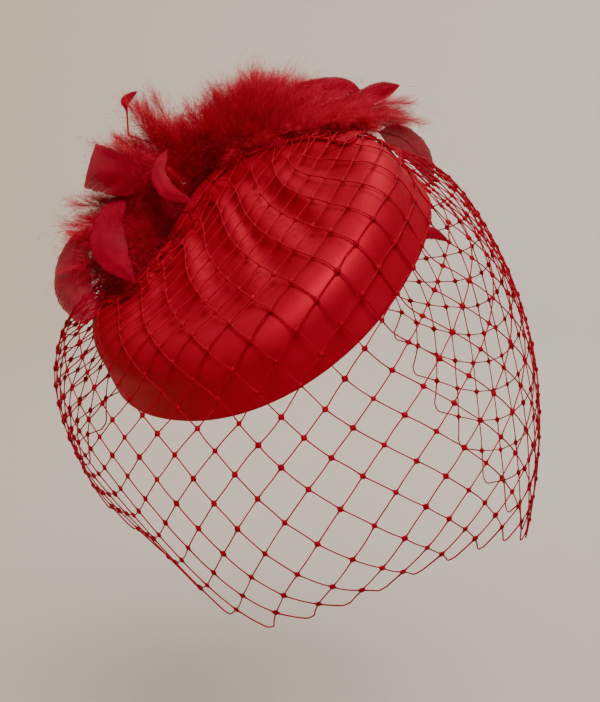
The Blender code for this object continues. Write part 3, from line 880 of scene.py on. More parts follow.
def build_veil(look):
    """The net with its tails laid under the feathers and the cord that gathers it."""
    strands, knots, tops = veil_lines(look)
    gathers, _, _, keys = drape_table()
    for top, across in tops:
        share = through_rows(gathers, keys, across)
        plan = gather_plan(share)
        tail = [(top, 1.3), (on_crown(plan, 0.0012), 1.5)]
        for reach in (0.0035, 0.007):
            back = plan + gather_outward(share) * reach
            tail.append((on_crown(back, 0.0008), 1.2))
        strands.append(tail)
    shares = [index / 160 for index in range(161)]
    strands.append([(on_crown(gather_plan(share), 0.0011), 2.9) for share in shares])
    tubes = mesh_from_lines("strands", strands, look.strand_size / 2, 1)
    draw = random.Random(5)
    places = []
    for point, along, outward, share in knots:
        size = look.knot_size * share * draw.uniform(0.88, 1.12)
        spin = Matrix.Rotation(draw.uniform(-0.15, 0.15), 4, "Z")
        places.append((0, Matrix.Translation(point) @ turn_to(along, outward) @ spin
                       @ Matrix.Scale(size, 4), 1.0))
    template = knot_template()
    knobs = join_copies("knots", [template], places)
    bpy.data.meshes.remove(template)
    return join_meshes("veil_net", [tubes, knobs])


# Feathers

def pad_point(share, pad):
    start, end = pad
    along = start + (end - start) * share
    return gather_plan(along) + gather_outward(along) * (PAD_SETBACK + PAD_WIDTH / 2)


def down_quill(root, tip, arch, pad):
    """Three places that lead the quill of a downy feather."""
    start = on_crown(pad_point(root, pad), PAD_LIFT + PAD_THICKNESS * 0.6)
    lead = (start + tip) / 2 + Vector((0.0, 0.0, arch / 1000.0)) * 2.0
    return start, lead, tip


def bow_along(quill, share):
    start, lead, tip = quill
    return (lead - start).lerp(tip - lead, share).normalized()


def bow_tube(quill, taper):
    return [(bow_place(quill, i / 8), 1.0 - taper * i / 8) for i in range(9)]


def flat_to_front(along):
    """A feather's way across and its way out, with its flat side turned to the front."""
    across = along.cross(Vector((0.0, -1.0, 0.25))).normalized()
    return across, across.cross(along)


class Vane:
    """The form of a broad feather, read at shares along and across it."""

    def __init__(self, places, widths, cup, blunt, seed):
        self.places, self.widths, self.cup, self.blunt = places, widths, cup, blunt
        self.seed = seed
        self.keys = even_keys(places)

    def half_width(self, u):
        narrowing = max((u - self.blunt) / (1.0 - self.blunt), 0.0)
        rounding = math.sqrt(max(1.0 - narrowing ** 2, 0.0))
        opening = smooth_step(u * 9.0) * 0.9 + 0.1
        return through_rows(self.widths, self.keys, u) / 1000.0 * rounding * opening

    def along(self, share):
        ahead, behind = min(share + 0.02, 1.0), max(share - 0.02, 0.0)
        return (through_rows(self.places, self.keys, ahead)
                - through_rows(self.places, self.keys, behind)).normalized()

    def surface(self, u, v):
        """Place, way along and way across at a share along and across the feather."""
        sweep = 0.10 * abs(v) ** 1.3 * (1.0 - u) * smooth_step(u * 4.0)
        share = clamp(u * 0.985 + sweep)
        centre = through_rows(self.places, self.keys, share)
        along = self.along(share)
        across, outward = flat_to_front(along)
        reach = self.half_width(u)
        wave = 0.10 * reach * noise.noise(Vector((u * 5.0 + self.seed, v * 1.5, 2.0)))
        cupped = self.cup * reach * abs(v) ** 1.6 - wave
        return centre + across * v * reach - outward * cupped, along, across


def flat_shares(vert):
    """Shares along and across a feather, from a place on its flat grid."""
    return vert.co.x + 0.5, vert.co.y * 2.0


def split_vane(bm, seed):
    """Open slits between barbs near the edges of a flat vane."""
    cut = []
    for edge in bm.edges:
        (u0, v0), (u1, v1) = (flat_shares(vert) for vert in edge.verts)
        if abs(u0 - u1) < 1e-4 and 0.12 < u0 < 0.97:
            side = 1.0 if v0 + v1 > 0 else -1.0
            split = noise.noise(Vector((u0 * 27.0 + seed, side * 3.0, 0.0)))
            if split > 0.30 and min(abs(v0), abs(v1)) > 0.45:
                cut.append(edge)
    if cut:
        bmesh.ops.split_edges(bm, edges=cut)


def loose_barbs(vane, draw):
    """Places of the barbs that stand off the edges of a vane."""
    barbs = []
    for _ in range(EDGE_BARBS):
        u, side = draw.uniform(0.03, 0.98), draw.choice((-1, 1))
        place, along, across = vane.surface(u, side * draw.uniform(0.75, 0.98))
        reach = draw.uniform(0.0012, 0.0030) * (2.2 if u < 0.30 else 1.0)
        lean = draw.uniform(0.25, 0.65)
        stray = Vector((draw.uniform(-1, 1), draw.uniform(-1, 1), draw.uniform(-1, 1))) * 0.2
        out = (across * side * lean + along * (1.0 - lean) + stray).normalized()
        barbs.append((0, Matrix.Translation(place) @ turn_to(out, Vector((0, -0.3, 1.0)))
                      @ Matrix.Scale(reach, 4), draw.uniform(0.3, 0.9)))
    return barbs


def build_vane(places, widths, cup, blunt, draw):
    """A broad feather of swept barbs that curve along its quill.

    Gives the mesh and the places of the loose barbs along its edges."""
    vane = Vane(places, widths, cup, blunt, draw.uniform(0.0, 50.0))
    length = distances(places)[-1]
    bm = bmesh.new()
    bmesh.ops.create_grid(bm, x_segments=44, y_segments=12, size=0.5)
    uv_layer = bm.loops.layers.uv.new("vane")
    for face in bm.faces:
        for loop in face.loops:
            u, v = flat_shares(loop.vert)
            loop[uv_layer].uv = (u * length * 100.0, v)
    split_vane(bm, vane.seed)
    moved = []
    for vert in bm.verts:
        u, v = flat_shares(vert)
        lean = sum(face.calc_center_median().x + 0.5 - u for face in vert.link_faces)
        fringe = noise.noise(Vector((u * 40.0 + lean * 60.0 + vane.seed, v * 0.4, 1.0)))
        loose = max(abs(v) - 0.4, 0.0)
        moved.append(vane.surface(clamp(u + lean * 0.10 * loose),
                                  v * (1.0 + 0.12 * fringe * loose))[0])
    for vert, place in zip(bm.verts, moved):
        vert.co = place
    bmesh.ops.recalc_face_normals(bm, faces=bm.faces)
    bmesh.ops.solidify(bm, geom=bm.faces[:], thickness=0.00018)
    return mesh_from(bm, "vane", 80), loose_barbs(vane, draw)


def quill_line(places):
    keys = even_keys(places)
    shares = [index / 14 for index in range(15)]
    return [(through_rows(places, keys, share), 1.0 - 0.85 * share) for share in shares]


def barb_template(draw, curl, barbules, width=0.007):
    """One barb of down, of unit length along x, curled to +z, with its barbules."""
    bm = bmesh.new()
    bmesh.ops.create_grid(bm, x_segments=3, y_segments=1, size=0.5)

    def course(share):
        turn = curl * share
        if abs(curl) < 1e-3:
            return Vector((share, 0.0, 0.0)), Vector((1.0, 0.0, 0.0))
        place = Vector((math.sin(turn) / curl, 0.0, (1.0 - math.cos(turn)) / curl))
        return place, Vector((math.cos(turn), 0.0, math.sin(turn)))

    for vert in bm.verts:
        share, side = vert.co.x + 0.5, vert.co.y * 2.0
        vert.co = course(share)[0] + Vector((0.0, side * width * (1.0 - 0.8 * share), 0.0))
    for index in range(barbules):
        share = (index + draw.uniform(0.2, 0.8)) / barbules
        place, along = course(share)
        side = 1 if index % 2 else -1
        roll = draw.uniform(-1.2, 1.2)
        out = Vector((0.0, side * math.cos(roll), math.sin(roll)))
        length = 0.46 * (1.0 - 0.4 * share) * draw.uniform(0.6, 1.4)
        tip = place + (along * draw.uniform(0.7, 1.0) + out * 0.55) * length
        edge = along * 0.0085
        corners = [bm.verts.new(place - edge), bm.verts.new(place + edge), bm.verts.new(tip)]
        bm.faces.new(corners)
    return plain_mesh(bm, "barb")


def down_places(quill, length, look, draw):
    """Places of the barbs of one downy feather."""
    places = []
    for index in range(look.down_barbs):
        share = ((index + draw.random()) / look.down_barbs) ** 0.85
        along = bow_along(quill, share)
        side = along.orthogonal().normalized()
        side.rotate(Matrix.Rotation(draw.uniform(0.0, math.tau), 3, along))
        pitch = math.radians(78 - 48 * share + draw.uniform(-14, 14))
        out = side * math.sin(pitch) + along * math.cos(pitch)
        kind = draw.randrange(look.barb_kinds)
        reach = length / 1000.0 * (0.60 + 0.5 * math.sin(math.pi * (0.12 + 0.70 * share)))
        reach *= draw.uniform(0.6, 1.1)
        if draw.random() < LONG_HAIR_SHARE:
            kind, reach = look.barb_kinds, min(reach * LONG_HAIR_GROWTH, LONGEST_HAIR)
        upward = along + Vector((0.0, 0.0, 0.35))
        matrix = (Matrix.Translation(bow_place(quill, share * 0.97))
                  @ turn_to(out, upward) @ Matrix.Scale(reach, 4))
        # Darker towards the root and lighter to the tip: painted shade of the plume's inside,
        # with a little random tone.
        shade = clamp(0.25 + 0.7 * share + draw.uniform(-0.12, 0.12))
        places.append((kind, matrix, shade))
    return places


def down_body(quill, half_width, draw):
    """The dense middle of a downy feather: a soft flat form with a broken edge."""
    bm = bmesh.new()
    bmesh.ops.create_uvsphere(bm, u_segments=10, v_segments=9, radius=1.0)
    seed = draw.uniform(0.0, 50.0)
    start, _, tip = quill
    for vert in bm.verts:
        share = 0.5 + vert.co.z * 0.5
        along = bow_along(quill, share)
        across, outward = flat_to_front(along)
        rough = 1.0 + 0.5 * noise.noise(Vector((vert.co.x * 2.0, vert.co.z * 5.0, seed)))
        reach = half_width * rough
        vert.co = (bow_place(quill, 0.02 + 0.72 * share) + across * vert.co.x * reach
                   + outward * vert.co.y * reach * 0.5)
    bmesh.ops.recalc_face_normals(bm, faces=bm.faces)
    return mesh_from(bm, "down_body", 180)


def build_down(rows, pad, look, feathers, stray, from_root, seed):
    """The down of one spray: so many downy feathers for each row, with tips that stray."""
    draw = random.Random(seed)
    templates = [barb_template(draw, curl, look.barbules)
                 for curl in np.linspace(-0.4, 1.5, look.barb_kinds)]
    templates.append(barb_template(draw, 0.25, 4, 0.003))
    places, quills, bodies = [], [], []
    for root, tip, arch, length in rows:
        for index in range(feathers):
            share = clamp(root + draw.uniform(-0.09, 0.09))
            end = Vector(tip) / 1000.0
            if from_root:
                end += on_crown(pad_point(share, pad), PAD_LIFT)
            end += Vector([draw.uniform(-1, 1) for _ in range(3)]) * stray
            quill = down_quill(share, end, arch, pad)
            quills.append(bow_tube(quill, 0.8))
            places += down_places(quill, length, look, draw)
            if index == 0:
                bodies.append(down_body(quill, length / 1000.0 * 0.20, draw))
    barbs = join_copies("down_barbs", templates, places)
    for template in templates:
        bpy.data.meshes.remove(template)
    # The dense middle takes the darker red of the roots: painted shade.
    for body in bodies:
        shade = body.attributes.new("shade", "FLOAT", "POINT")
        shade.data.foreach_set("value", [0.3] * len(body.vertices))
    stems = mesh_from_lines("down_stems", quills, 0.00022, 0)
    return join_meshes("down", [barbs, stems] + bodies)


def build_vanes(vanes, pad, seed):
    """The broad feathers of one spray with their quills and loose edge barbs."""
    draw = random.Random(seed)
    meshes, quills, loose = [], [], []
    for root, *places, widths, cup, blunt, thin in vanes:
        places = [Vector(place) / 1000.0 for place in places]
        mesh, barbs = build_vane(places, widths, cup, blunt, draw)
        for face in mesh.polygons:
            face.material_index = thin
        meshes.append(mesh)
        loose += barbs
        quills.append(quill_line(places))
        if root is not None:
            quills.append(bow_tube(down_quill(root, places[0], 3, pad), 0.0))
    template = barb_template(draw, 0.5, 0, 0.010)
    meshes.append(join_copies("edge_barbs", [template], loose))
    bpy.data.meshes.remove(template)
    meshes.append(mesh_from_lines("quills", quills, 0.00045, 1))
    return join_meshes("vanes", meshes)


def build_strip(pad):
    """The strip of felt that carries a spray, laid on the satin behind the gather."""
    bm = bmesh.new()
    bmesh.ops.create_grid(bm, x_segments=24, y_segments=6, size=0.5)
    start, end = pad
    for vert in bm.verts:
        share, across = vert.co.x + 0.5, vert.co.y
        along = start + (end - start) * share
        middle = pad_point(share, pad) + gather_outward(along) * PAD_WIDTH * across
        vert.co = on_crown(middle, PAD_LIFT)
    bmesh.ops.recalc_face_normals(bm, faces=bm.faces)
    bmesh.ops.solidify(bm, geom=bm.faces[:], thickness=-PAD_THICKNESS)
    bmesh.ops.recalc_face_normals(bm, faces=bm.faces)
    return mesh_from(bm, "strip")


# Shared effects of the materials

def set_inputs(tree, node, inputs):
    """Set a node's inputs to values, or link them where a socket is given."""
    for key, value in inputs.items():
        if isinstance(value, bpy.types.NodeSocket):
            tree.links.new(value, node.inputs[key])
        else:
            node.inputs[key].default_value = value


def add_node(tree, kind, inputs=None, **settings):
    """A shader node with its settings made first, since they decide its inputs."""
    node = tree.nodes.new("ShaderNode" + kind)
    for name, value in settings.items():
        setattr(node, name, value)
    set_inputs(tree, node, inputs or {})
    return node


def node_group(name, inputs, outputs):
    """An empty group, what comes in as sockets by name, and the node that its results go to."""
    tree = bpy.data.node_groups.new(name, "ShaderNodeTree")
    for label, kind, default in inputs:
        socket = tree.interface.new_socket(label, in_out="INPUT", socket_type="NodeSocket" + kind)
        if default is not None:
            socket.default_value = default
    for label, kind in outputs:
        tree.interface.new_socket(label, in_out="OUTPUT", socket_type="NodeSocket" + kind)
    return tree, tree.nodes.new("NodeGroupInput").outputs, tree.nodes.new("NodeGroupOutput")


def add_group(tree, maker, inputs):
    """The shared group that maker makes once, placed in a tree."""
    name = maker.__name__
    return add_node(tree, "Group", inputs, node_tree=bpy.data.node_groups.get(name) or maker())


def uneven_dye():
    """Colour that drifts a little over the cloth, darker and lighter."""
    tree, given, leave = node_group(
        "uneven_dye",
        [("Color", "Color", (0.4, 0.01, 0.02, 1.0)),
         ("Dark Color", "Color", (0.2, 0.005, 0.01, 1.0)),
         ("Vector", "Vector", None), ("Scale", "Float", 30.0), ("Amount", "Float", 0.4)],
        [("Color", "Color")])
    cloud = add_node(tree, "TexNoise", {
        "Detail": 4.0, "Vector": given["Vector"], "Scale": given["Scale"]})
    spread = add_node(tree, "MapRange", {
        "From Min": 0.35, "From Max": 0.65, "Value": cloud.outputs["Fac"]})
    share = add_node(tree, "Math", {0: spread.outputs["Result"], 1: given["Amount"]},
                     operation="MULTIPLY")
    mix = add_node(tree, "Mix", {
        "Factor": share.outputs["Value"], "A": given["Color"], "B": given["Dark Color"]},
        data_type="RGBA")
    set_inputs(tree, leave, {"Color": mix.outputs["Result"]})
    return tree


def fine_thread():
    """Height of fine parallel threads with a little unevenness."""
    tree, given, leave = node_group(
        "fine_thread",
        [("Vector", "Vector", None), ("Threads", "Float", 1500.0),
         ("Unevenness", "Float", 0.35)],
        [("Height", "Float")])
    thread = add_node(tree, "TexWave", {
        "Distortion": 1.2, "Detail": 1.0, "Vector": given["Vector"], "Scale": given["Threads"]},
        bands_direction="DIAGONAL")
    grain = add_node(tree, "TexNoise", {
        "Detail": 2.0, "Vector": given["Vector"], "Scale": given["Threads"]})
    mix = add_node(tree, "Mix", {
        "Factor": given["Unevenness"], "A": thread.outputs["Fac"], "B": grain.outputs["Fac"]})
    set_inputs(tree, leave, {"Height": mix.outputs["Result"]})
    return tree


def feather_barbs():
    """Streaks of the barbs on a vane, and where the vane is whole and where it frays."""
    tree, given, leave = node_group(
        "feather_barbs",
        [("Vector", "Vector", None), ("Barbs", "Float", 22.0), ("Fray", "Float", 0.5),
         ("Cover", "Float", 0.95)],
        [("Streak", "Float"), ("Whole", "Float")])

    def calculate(operation, *values):
        node = add_node(tree, "Math", dict(enumerate(values)), operation=operation)
        return node.outputs["Value"]

    split = add_node(tree, "SeparateXYZ", {"Vector": given["Vector"]}).outputs
    side = calculate("ABSOLUTE", split["Y"])
    swept = calculate("SUBTRACT", split["X"], calculate("MULTIPLY", side, 0.55))
    place = add_node(tree, "CombineXYZ", {
        "X": calculate("MULTIPLY", swept, given["Barbs"]), "Y": split["Y"]})
    streak = add_node(tree, "TexNoise", {
        "Scale": 1.0, "Detail": 4.0, "Vector": place.outputs["Vector"]}).outputs["Fac"]
    edge = add_node(tree, "MapRange", {"From Min": 0.55, "From Max": 1.0, "Value": side})
    lack = calculate("MULTIPLY", edge.outputs["Result"], given["Fray"])
    whole = add_node(tree, "MapRange", {
        "From Min": 0.12, "From Max": 0.32, "To Max": given["Cover"],
        "Value": calculate("SUBTRACT", streak, lack)})
    set_inputs(tree, leave, {"Streak": streak, "Whole": whole.outputs["Result"]})
    return tree


# Materials

WHITE = (1.0, 1.0, 1.0, 1.0)
RED_TINT = (1.0, 0.05, 0.08, 1.0)
DEEP_TINT = (1.0, 0.03, 0.06, 1.0)


def opaque(color):
    return (*color, 1.0)


def dark_of(color, share):
    return (color[0] * share, color[1] * share * 0.8, color[2] * share * 0.9, 1.0)


def new_material(name, roughness, specular, tint=RED_TINT, **inputs):
    """A material, its tree and its shader; inputs go to the shader, with _ for a space."""
    material = bpy.data.materials.new(name)
    material.use_nodes = True
    tree = material.node_tree
    shader = tree.nodes["Principled BSDF"]
    set_inputs(tree, shader, {"Roughness": roughness, "Specular IOR Level": specular,
                              "Specular Tint": tint, "Sheen Roughness": 0.45})
    set_inputs(tree, shader, {key.replace("_", " "): value for key, value in inputs.items()})
    return material, tree, shader


def object_place(tree):
    return add_node(tree, "TexCoord").outputs["Object"]


def cloth_place(tree):
    return add_node(tree, "Attribute", attribute_name="cloth_place").outputs["Vector"]


def dyed(tree, place, color, dark, scale, amount):
    """A colour that drifts between two, as a socket."""
    return add_group(tree, uneven_dye, {
        "Color": color, "Dark Color": dark, "Vector": place, "Scale": scale,
        "Amount": amount}).outputs["Color"]


def dye(tree, shader, *finish):
    set_inputs(tree, shader, {"Base Color": dyed(tree, *finish)})


def emboss(tree, shader, height, distance, strength):
    bump = add_node(tree, "Bump", {
        "Distance": distance, "Strength": strength, "Height": height})
    set_inputs(tree, shader, {"Normal": bump.outputs["Normal"]})


def weave(tree, shader, place, threads, unevenness, distance, strength):
    """Raise fine threads on the surface."""
    thread = add_group(tree, fine_thread, {
        "Vector": place, "Threads": threads, "Unevenness": unevenness})
    emboss(tree, shader, thread.outputs["Height"], distance, strength)


def shaded(tree, first, second):
    """A colour that runs from the first to the second with the mesh's shade attribute."""
    shade = add_node(tree, "Attribute", attribute_name="shade")
    mix = add_node(tree, "Mix", {"Factor": shade.outputs["Fac"], "A": first, "B": second},
                   data_type="RGBA")
    return mix.outputs["Result"]


def satin_material(color):
    material, tree, shader = new_material("satin_cover", 0.52, 0.14, Metallic=0.38,
                                          Sheen_Weight=0.08, Sheen_Tint=DEEP_TINT)
    place = cloth_place(tree)
    dye(tree, shader, place, opaque(color), dark_of(color, 0.78), 38.0, 0.5)
    weave(tree, shader, place, 900.0, 0.4, 0.0001, 0.5)
    return material


def lining_material(color):
    material, tree, shader = new_material("lining", 0.7, 0.3, Sheen_Weight=0.1)
    place = cloth_place(tree)
    dye(tree, shader, place, opaque(color), dark_of(color, 0.7), 60.0, 0.6)
    weave(tree, shader, place, 420.0, 0.5, 0.0002, 0.6)
    return material


def net_material(color):
    material, tree, shader = new_material("veil_thread", 0.6, 0.2)
    place = object_place(tree)
    knotted = shaded(tree, opaque(color), dark_of(color, 0.9))
    dye(tree, shader, place, knotted, dark_of(color, 0.5), 140.0, 0.5)
    weave(tree, shader, place, 1200.0, 0.3, 0.0001, 0.5)
    return material


def vane_material(color, name="feather_vane", fray=0.25, cover=0.97):
    """Barbs laid side by side; cover is how much of the vane they fill."""
    material, tree, shader = new_material(name, 0.68, 0.25, Sheen_Weight=0.25,
                                          Sheen_Tint=RED_TINT)
    vane = add_node(tree, "UVMap", uv_map="vane")
    barbs = add_group(tree, feather_barbs, {
        "Vector": vane.outputs["UV"], "Barbs": 22.0, "Fray": fray, "Cover": cover}).outputs
    plain = dyed(tree, object_place(tree), opaque(color), dark_of(color, 0.55), 70.0, 0.6)
    streaked = add_node(tree, "Mix", {"Factor": 0.4, "A": plain, "B": barbs["Streak"]},
                        data_type="RGBA", blend_type="MULTIPLY")
    set_inputs(tree, shader, {"Base Color": streaked.outputs["Result"], "Alpha": barbs["Whole"]})
    emboss(tree, shader, barbs["Streak"], 0.0003, 0.6)
    return material


def strip_material(color):
    material, tree, shader = new_material("spray_strip", 0.9, 0.1, Sheen_Weight=0.2,
                                          Sheen_Tint=RED_TINT)
    place = object_place(tree)
    dye(tree, shader, place, opaque(color), dark_of(color, 0.4), 200.0, 0.7)
    weave(tree, shader, place, 500.0, 0.9, 0.0004, 0.8)
    return material


def down_material(color):
    material, tree, shader = new_material("feather_down", 0.75, 0.2, Sheen_Weight=0.5,
                                          Sheen_Tint=DEEP_TINT)
    # The shade attribute runs the down from a darker red to its full colour: painted shade deep
    # in the plume.
    set_inputs(tree, shader, {"Base Color": shaded(tree, dark_of(color, 0.78), opaque(color))})
    return material


def comb_material(color):
    material, tree, shader = new_material("comb_plastic", 0.35, 0.5)
    place = object_place(tree)
    dye(tree, shader, place, opaque(color), dark_of(color, 0.6), 90.0, 0.5)
    weave(tree, shader, place, 300.0, 1.0, 0.0001, 0.3)
    return material


def wall_material(color):
    """Matt paper, darker and warmer on the left, lighter and cooler on the right: painted shade
    and light across the backdrop.
    """
    material, tree, shader = new_material("studio_paper", 0.9, 0.2, WHITE)
    split = add_node(tree, "SeparateXYZ", {"Vector": object_place(tree)})
    across = add_node(tree, "MapRange", {
        "From Min": -1.0, "From Max": 1.0, "Value": split.outputs["X"]})
    # The two ends stand for uneven light over the paper: painted shade to the left, painted light
    # to the right.
    mix = add_node(tree, "Mix", {
        "Factor": across.outputs["Result"],
        "A": (color[0] * 0.92, color[1] * 0.86, color[2] * 0.78, 1.0),
        "B": (color[0] * 1.02, color[1] * 1.08, color[2] * 1.16, 1.0)}, data_type="RGBA")
    set_inputs(tree, shader, {"Base Color": mix.outputs["Result"]})
    return material


# Settings

def color_setting(name, description, default):
    return FloatVectorProperty(name=name, description=description, subtype="COLOR",
                               default=default, min=0.0, max=1.0)


def length_setting(name, description, default, low, high):
    return FloatProperty(name=name, description=description, default=default, min=low,
                         max=high, unit="LENGTH", precision=5)


def count_setting(name, description, default, low, high):
    return IntProperty(name=name, description=description, default=default, min=low, max=high)


def power_setting(name, description, default):
    return FloatProperty(name=name, description=description, default=default, min=0.0,
                         unit="POWER")


class CrownLook(bpy.types.PropertyGroup):
    satin_color: color_setting("Satin Color", "Colour of the satin cover",
                               (0.41, 0.0052, 0.023))
    lining_color: color_setting("Lining Color", "Colour of the inside of the crown",
                                (0.20, 0.001, 0.008))
    comb_color: color_setting("Comb Color", "Colour of the comb inside the rim",
                              (0.20, 0.010, 0.012))
    segments: count_setting("Segments", "Faces round the crown", 216, 60, 300)


class VeilLook(bpy.types.PropertyGroup):
    color: color_setting("Net Color", "Colour of the net", (0.36, 0.003, 0.017))
    columns: count_setting("Columns", "Diamonds across the veil", 28, 8, 40)
    rows: count_setting("Rows", "Diamonds down the veil", 12, 4, 20)
    strand_size: length_setting("Strand", "Thickness of a strand", 0.00070, 0.0002, 0.003)
    strand_length: length_setting("Strand Length", "Length of a strand from knot to knot",
                                  0.0170, 0.005, 0.05)
    knot_size: length_setting("Knot", "Width of a knot", 0.0034, 0.001, 0.006)
    lift: length_setting("Lift", "How far the net floats over the hat", 0.0022, 0.001, 0.01)


class FeatherLook(bpy.types.PropertyGroup):
    vane_color: color_setting("Feather Color", "Colour of the broad feathers",
                              (0.33, 0.005, 0.021))
    down_color: color_setting("Down Color", "Colour of the down", (0.53, 0.016, 0.041))
    down_feathers: count_setting("Downy Feathers",
                                 "Downy feathers for each row of the table", 4, 1, 12)
    down_barbs: count_setting("Barbs", "Barbs on a downy feather", 150, 20, 300)
    barbules: count_setting("Barbules", "Barbules on a barb", 14, 0, 100)
    barb_kinds: count_setting("Barb Kinds", "Different curls of the barbs", 9, 2, 20)


class StageLook(bpy.types.PropertyGroup):
    paper_color: color_setting("Paper Color", "Colour of the studio paper",
                               (0.58, 0.51, 0.44))
    key_power: power_setting("Key Light", "Power of the light overhead", 26.0)
    fill_power: power_setting("Fill Light", "Power of the light from the front", 3.0)
    wash_power: power_setting("Backdrop Light", "Power of the light on the backdrop", 58.0)
    lens: FloatProperty(
        name="Lens", description="Focal length of the camera in millimetres",
        default=85.16, min=20.0, max=300.0)


# Stage

CAMERA_AIM = Vector((0.01918, -0.016845, -0.032921))
CAMERA_DISTANCE = 0.9
CAMERA_LIFT = math.radians(10)
PAPER_LEVEL = -0.34
PAPER_REACH = 1.9
PAPER_BEND = 0.9
PAPER_TOP = 2.6

# Lights: name, place, what it points at, width, its setting and its colour
LIGHTS = [
    ("overhead", (0.15, -0.95, 1.15), (0, 0, 0), 0.8, "key_power", (1.0, 0.97, 0.93)),
    ("front_fill", (-0.9, -1.5, 0.6), (0, 0, -0.02), 1.2, "fill_power", (0.97, 0.98, 1.0)),
    ("backdrop_wash", (0.3, 0.9, 1.9), (0.2, 2.8, 0.2), 1.2, "wash_power", (1.0, 0.98, 0.96)),
]


def set_camera(lens):
    camera = bpy.data.cameras.new("camera")
    camera.lens = lens
    camera.sensor_width = 36.0
    camera.clip_end = 50.0
    holder = link_object("camera", camera)
    backward = Vector((0.0, -math.cos(CAMERA_LIFT), math.sin(CAMERA_LIFT)))
    holder.location = CAMERA_AIM + backward * CAMERA_DISTANCE
    holder.rotation_euler = (math.radians(90) - CAMERA_LIFT, 0.0, 0.0)
    bpy.context.scene.camera = holder


def lay_paper(color):
    """A round sheet of paper that bends up all round the hat."""
    profile = [(0.001, PAPER_LEVEL), (PAPER_REACH, PAPER_LEVEL)]
    for step in range(1, 13):
        turn = math.radians(90) * step / 12
        profile.append((PAPER_REACH + PAPER_BEND * math.sin(turn),
                        PAPER_LEVEL + PAPER_BEND * (1.0 - math.cos(turn))))
    profile.append((PAPER_REACH + PAPER_BEND, PAPER_TOP))
    bm = bmesh.new()
    verts = [bm.verts.new((radius, 0.0, height)) for radius, height in profile]
    edges = [bm.edges.new(pair) for pair in zip(verts, verts[1:])]
    bmesh.ops.spin(bm, geom=verts + edges, cent=(0, 0, 0), axis=(0, 0, 1),
                   angle=math.tau, steps=96, use_merge=True)
    bmesh.ops.recalc_face_normals(bm, faces=bm.faces)
    mesh = mesh_from(bm, "studio_paper", 180)
    mesh.materials.append(wall_material(color))
    paper = link_object("studio_paper", mesh)


def add_light(name, place, aim, size, power, color):
    light = bpy.data.lights.new(name, "AREA")
    light.shape = "DISK"
    light.size = size
    light.energy = power
    light.color = color
    lamp = link_object(name, light)
    lamp.location = place
    lamp.rotation_euler = (Vector(aim) - Vector(place)).to_track_quat("-Z", "Y").to_euler()


def light_world():
    world = bpy.data.worlds.new("studio")
    world.use_nodes = True
    background = world.node_tree.nodes["Background"]
    background.inputs["Color"].default_value = (1.0, 0.97, 0.94, 1.0)
    background.inputs["Strength"].default_value = 0.36
    bpy.context.scene.world = world


# Operators

class PILLBOX_OT_cover_crown(bpy.types.Operator):
    """Cover the crown in draped satin and finish its inside"""
    bl_idname = "pillbox.cover_crown"
    bl_label = "Cover the Crown"

    def execute(self, context):
        look = context.scene.pillbox_crown
        mesh = mesh_from(build_crown_cover(look.segments), "satin_cover", 60)
        add_piece("satin_cover", mesh,
                  [satin_material(look.satin_color), lining_material(look.lining_color)],
                  ["crown"])
        return {"FINISHED"}


class PILLBOX_OT_finish_comb(bpy.types.Operator):
    """Give the comb inside the rim its moulded finish"""
    bl_idname = "pillbox.finish_comb"
    bl_label = "Finish the Comb"

    def execute(self, context):
        material = comb_material(context.scene.pillbox_crown.comb_color)
        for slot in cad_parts["hair_comb"].material_slots:
            slot.material = material
        return {"FINISHED"}


class PILLBOX_OT_hang_veil(bpy.types.Operator):
    """Hang the knotted net from its gather"""
    bl_idname = "pillbox.hang_veil"
    bl_label = "Hang the Veil"

    def execute(self, context):
        look = context.scene.pillbox_veil
        add_piece("veil_net", build_veil(look), [net_material(look.color)],
                  ["veil", "veil_gather"])
        return {"FINISHED"}


class PILLBOX_OT_set_feathers(bpy.types.Operator):
    """Set the broad feathers of both sprays on their strips"""
    bl_idname = "pillbox.set_feathers"
    bl_label = "Set the Feathers"

    def execute(self, context):
        look = context.scene.pillbox_feathers
        vane_materials = [vane_material(look.vane_color),
                          vane_material(look.vane_color, "feather_vane_thin", 0.20, 0.82)]
        # The strips are a near black red, a quarter of the down colour: painted shade of the
        # recess between the satin and the feathers.
        strip = strip_material(dark_of(look.down_color, 0.25)[:3])
        for side, vanes, pad, node, seed in (
                ("left", LEFT_VANES, LEFT_PAD, "plume_left", 21),
                ("right", RIGHT_VANES, RIGHT_PAD, "plume_right", 22)):
            add_piece(f"feathers_{side}", build_vanes(vanes, pad, seed), vane_materials,
                      [node])
            add_piece(f"feather_strip_{side}", build_strip(pad), [strip], [node])
        return {"FINISHED"}


class PILLBOX_OT_set_down(bpy.types.Operator):
    """Set the downy feathers of both sprays on their strips"""
    bl_idname = "pillbox.set_down"
    bl_label = "Set the Down"

    def execute(self, context):
        look = context.scene.pillbox_feathers
        material = down_material(look.down_color)
        count = look.down_feathers
        for name, rows, pad, node, feathers, stray, from_root, seed in (
                ("down_left", LEFT_DOWN, LEFT_PAD, "plume_left", count, 0.010, False, 31),
                ("down_right", RIGHT_DOWN, RIGHT_PAD, "plume_right", count + 2, 0.008, False,
                 32),
                ("down_base_left", LEFT_BASE, LEFT_PAD, "plume_left", 5, 0.006, True, 33),
                ("down_base_right", RIGHT_BASE, RIGHT_PAD, "plume_right", 5, 0.006, True,
                 34)):
            mesh = build_down(rows, pad, look, feathers, stray, from_root, seed)
            add_piece(name, mesh, [material], [node])
        return {"FINISHED"}


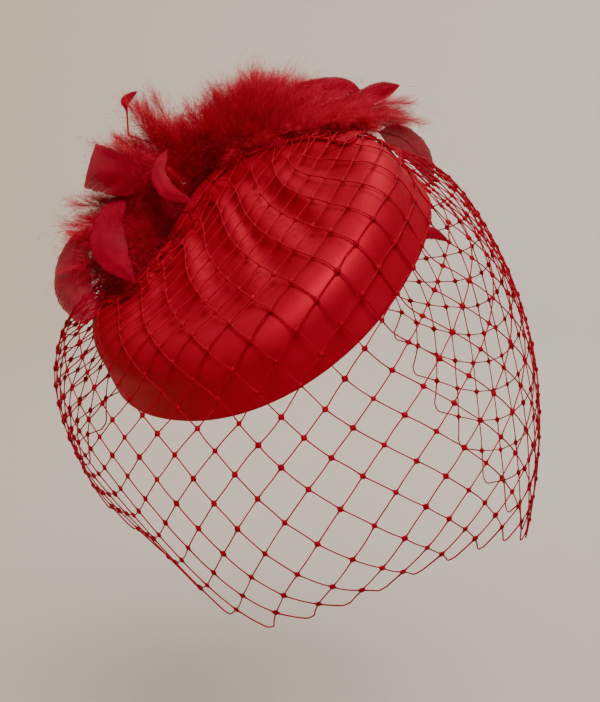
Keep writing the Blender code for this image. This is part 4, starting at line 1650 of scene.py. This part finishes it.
class PILLBOX_OT_set_stage(bpy.types.Operator):
    """Set the camera, the studio paper and the lights"""
    bl_idname = "pillbox.set_stage"
    bl_label = "Set the Stage"

    def execute(self, context):
        look = context.scene.pillbox_stage
        set_camera(look.lens)
        lay_paper(look.paper_color)
        for name, place, aim, size, setting, color in LIGHTS:
            add_light(name, place, aim, size, getattr(look, setting), color)
        light_world()
        return {"FINISHED"}


class PILLBOX_PT_dressing(bpy.types.Panel):
    bl_idname = "PILLBOX_PT_dressing"
    bl_label = "Pillbox Hat"
    bl_space_type = "VIEW_3D"
    bl_region_type = "UI"
    bl_category = "Pillbox Hat"

    def draw(self, context):
        scene = context.scene
        for group, operators in (
                (scene.pillbox_stage, ("pillbox.set_stage",)),
                (scene.pillbox_crown, ("pillbox.cover_crown", "pillbox.finish_comb")),
                (scene.pillbox_veil, ("pillbox.hang_veil",)),
                (scene.pillbox_feathers, ("pillbox.set_feathers", "pillbox.set_down"))):
            box = self.layout.box()
            for key in type(group).__annotations__:
                box.prop(group, key)
            for operator in operators:
                box.operator(operator)


CLASSES = (
    CrownLook, VeilLook, FeatherLook, StageLook, PILLBOX_OT_cover_crown,
    PILLBOX_OT_finish_comb, PILLBOX_OT_hang_veil, PILLBOX_OT_set_feathers,
    PILLBOX_OT_set_down, PILLBOX_OT_set_stage, PILLBOX_PT_dressing,
)


def register():
    for cls in CLASSES:
        bpy.utils.register_class(cls)
    bpy.types.Scene.pillbox_crown = PointerProperty(type=CrownLook)
    bpy.types.Scene.pillbox_veil = PointerProperty(type=VeilLook)
    bpy.types.Scene.pillbox_feathers = PointerProperty(type=FeatherLook)
    bpy.types.Scene.pillbox_stage = PointerProperty(type=StageLook)


def unregister():
    for name in ("pillbox_crown", "pillbox_veil", "pillbox_feathers", "pillbox_stage"):
        delattr(bpy.types.Scene, name)
    for cls in reversed(CLASSES):
        bpy.utils.unregister_class(cls)


def main():
    register()
    bpy.ops.pillbox.set_stage()
    bpy.ops.pillbox.cover_crown()
    bpy.ops.pillbox.finish_comb()
    bpy.ops.pillbox.hang_veil()
    bpy.ops.pillbox.set_feathers()
    bpy.ops.pillbox.set_down()


if __name__ == "__main__":
    main()
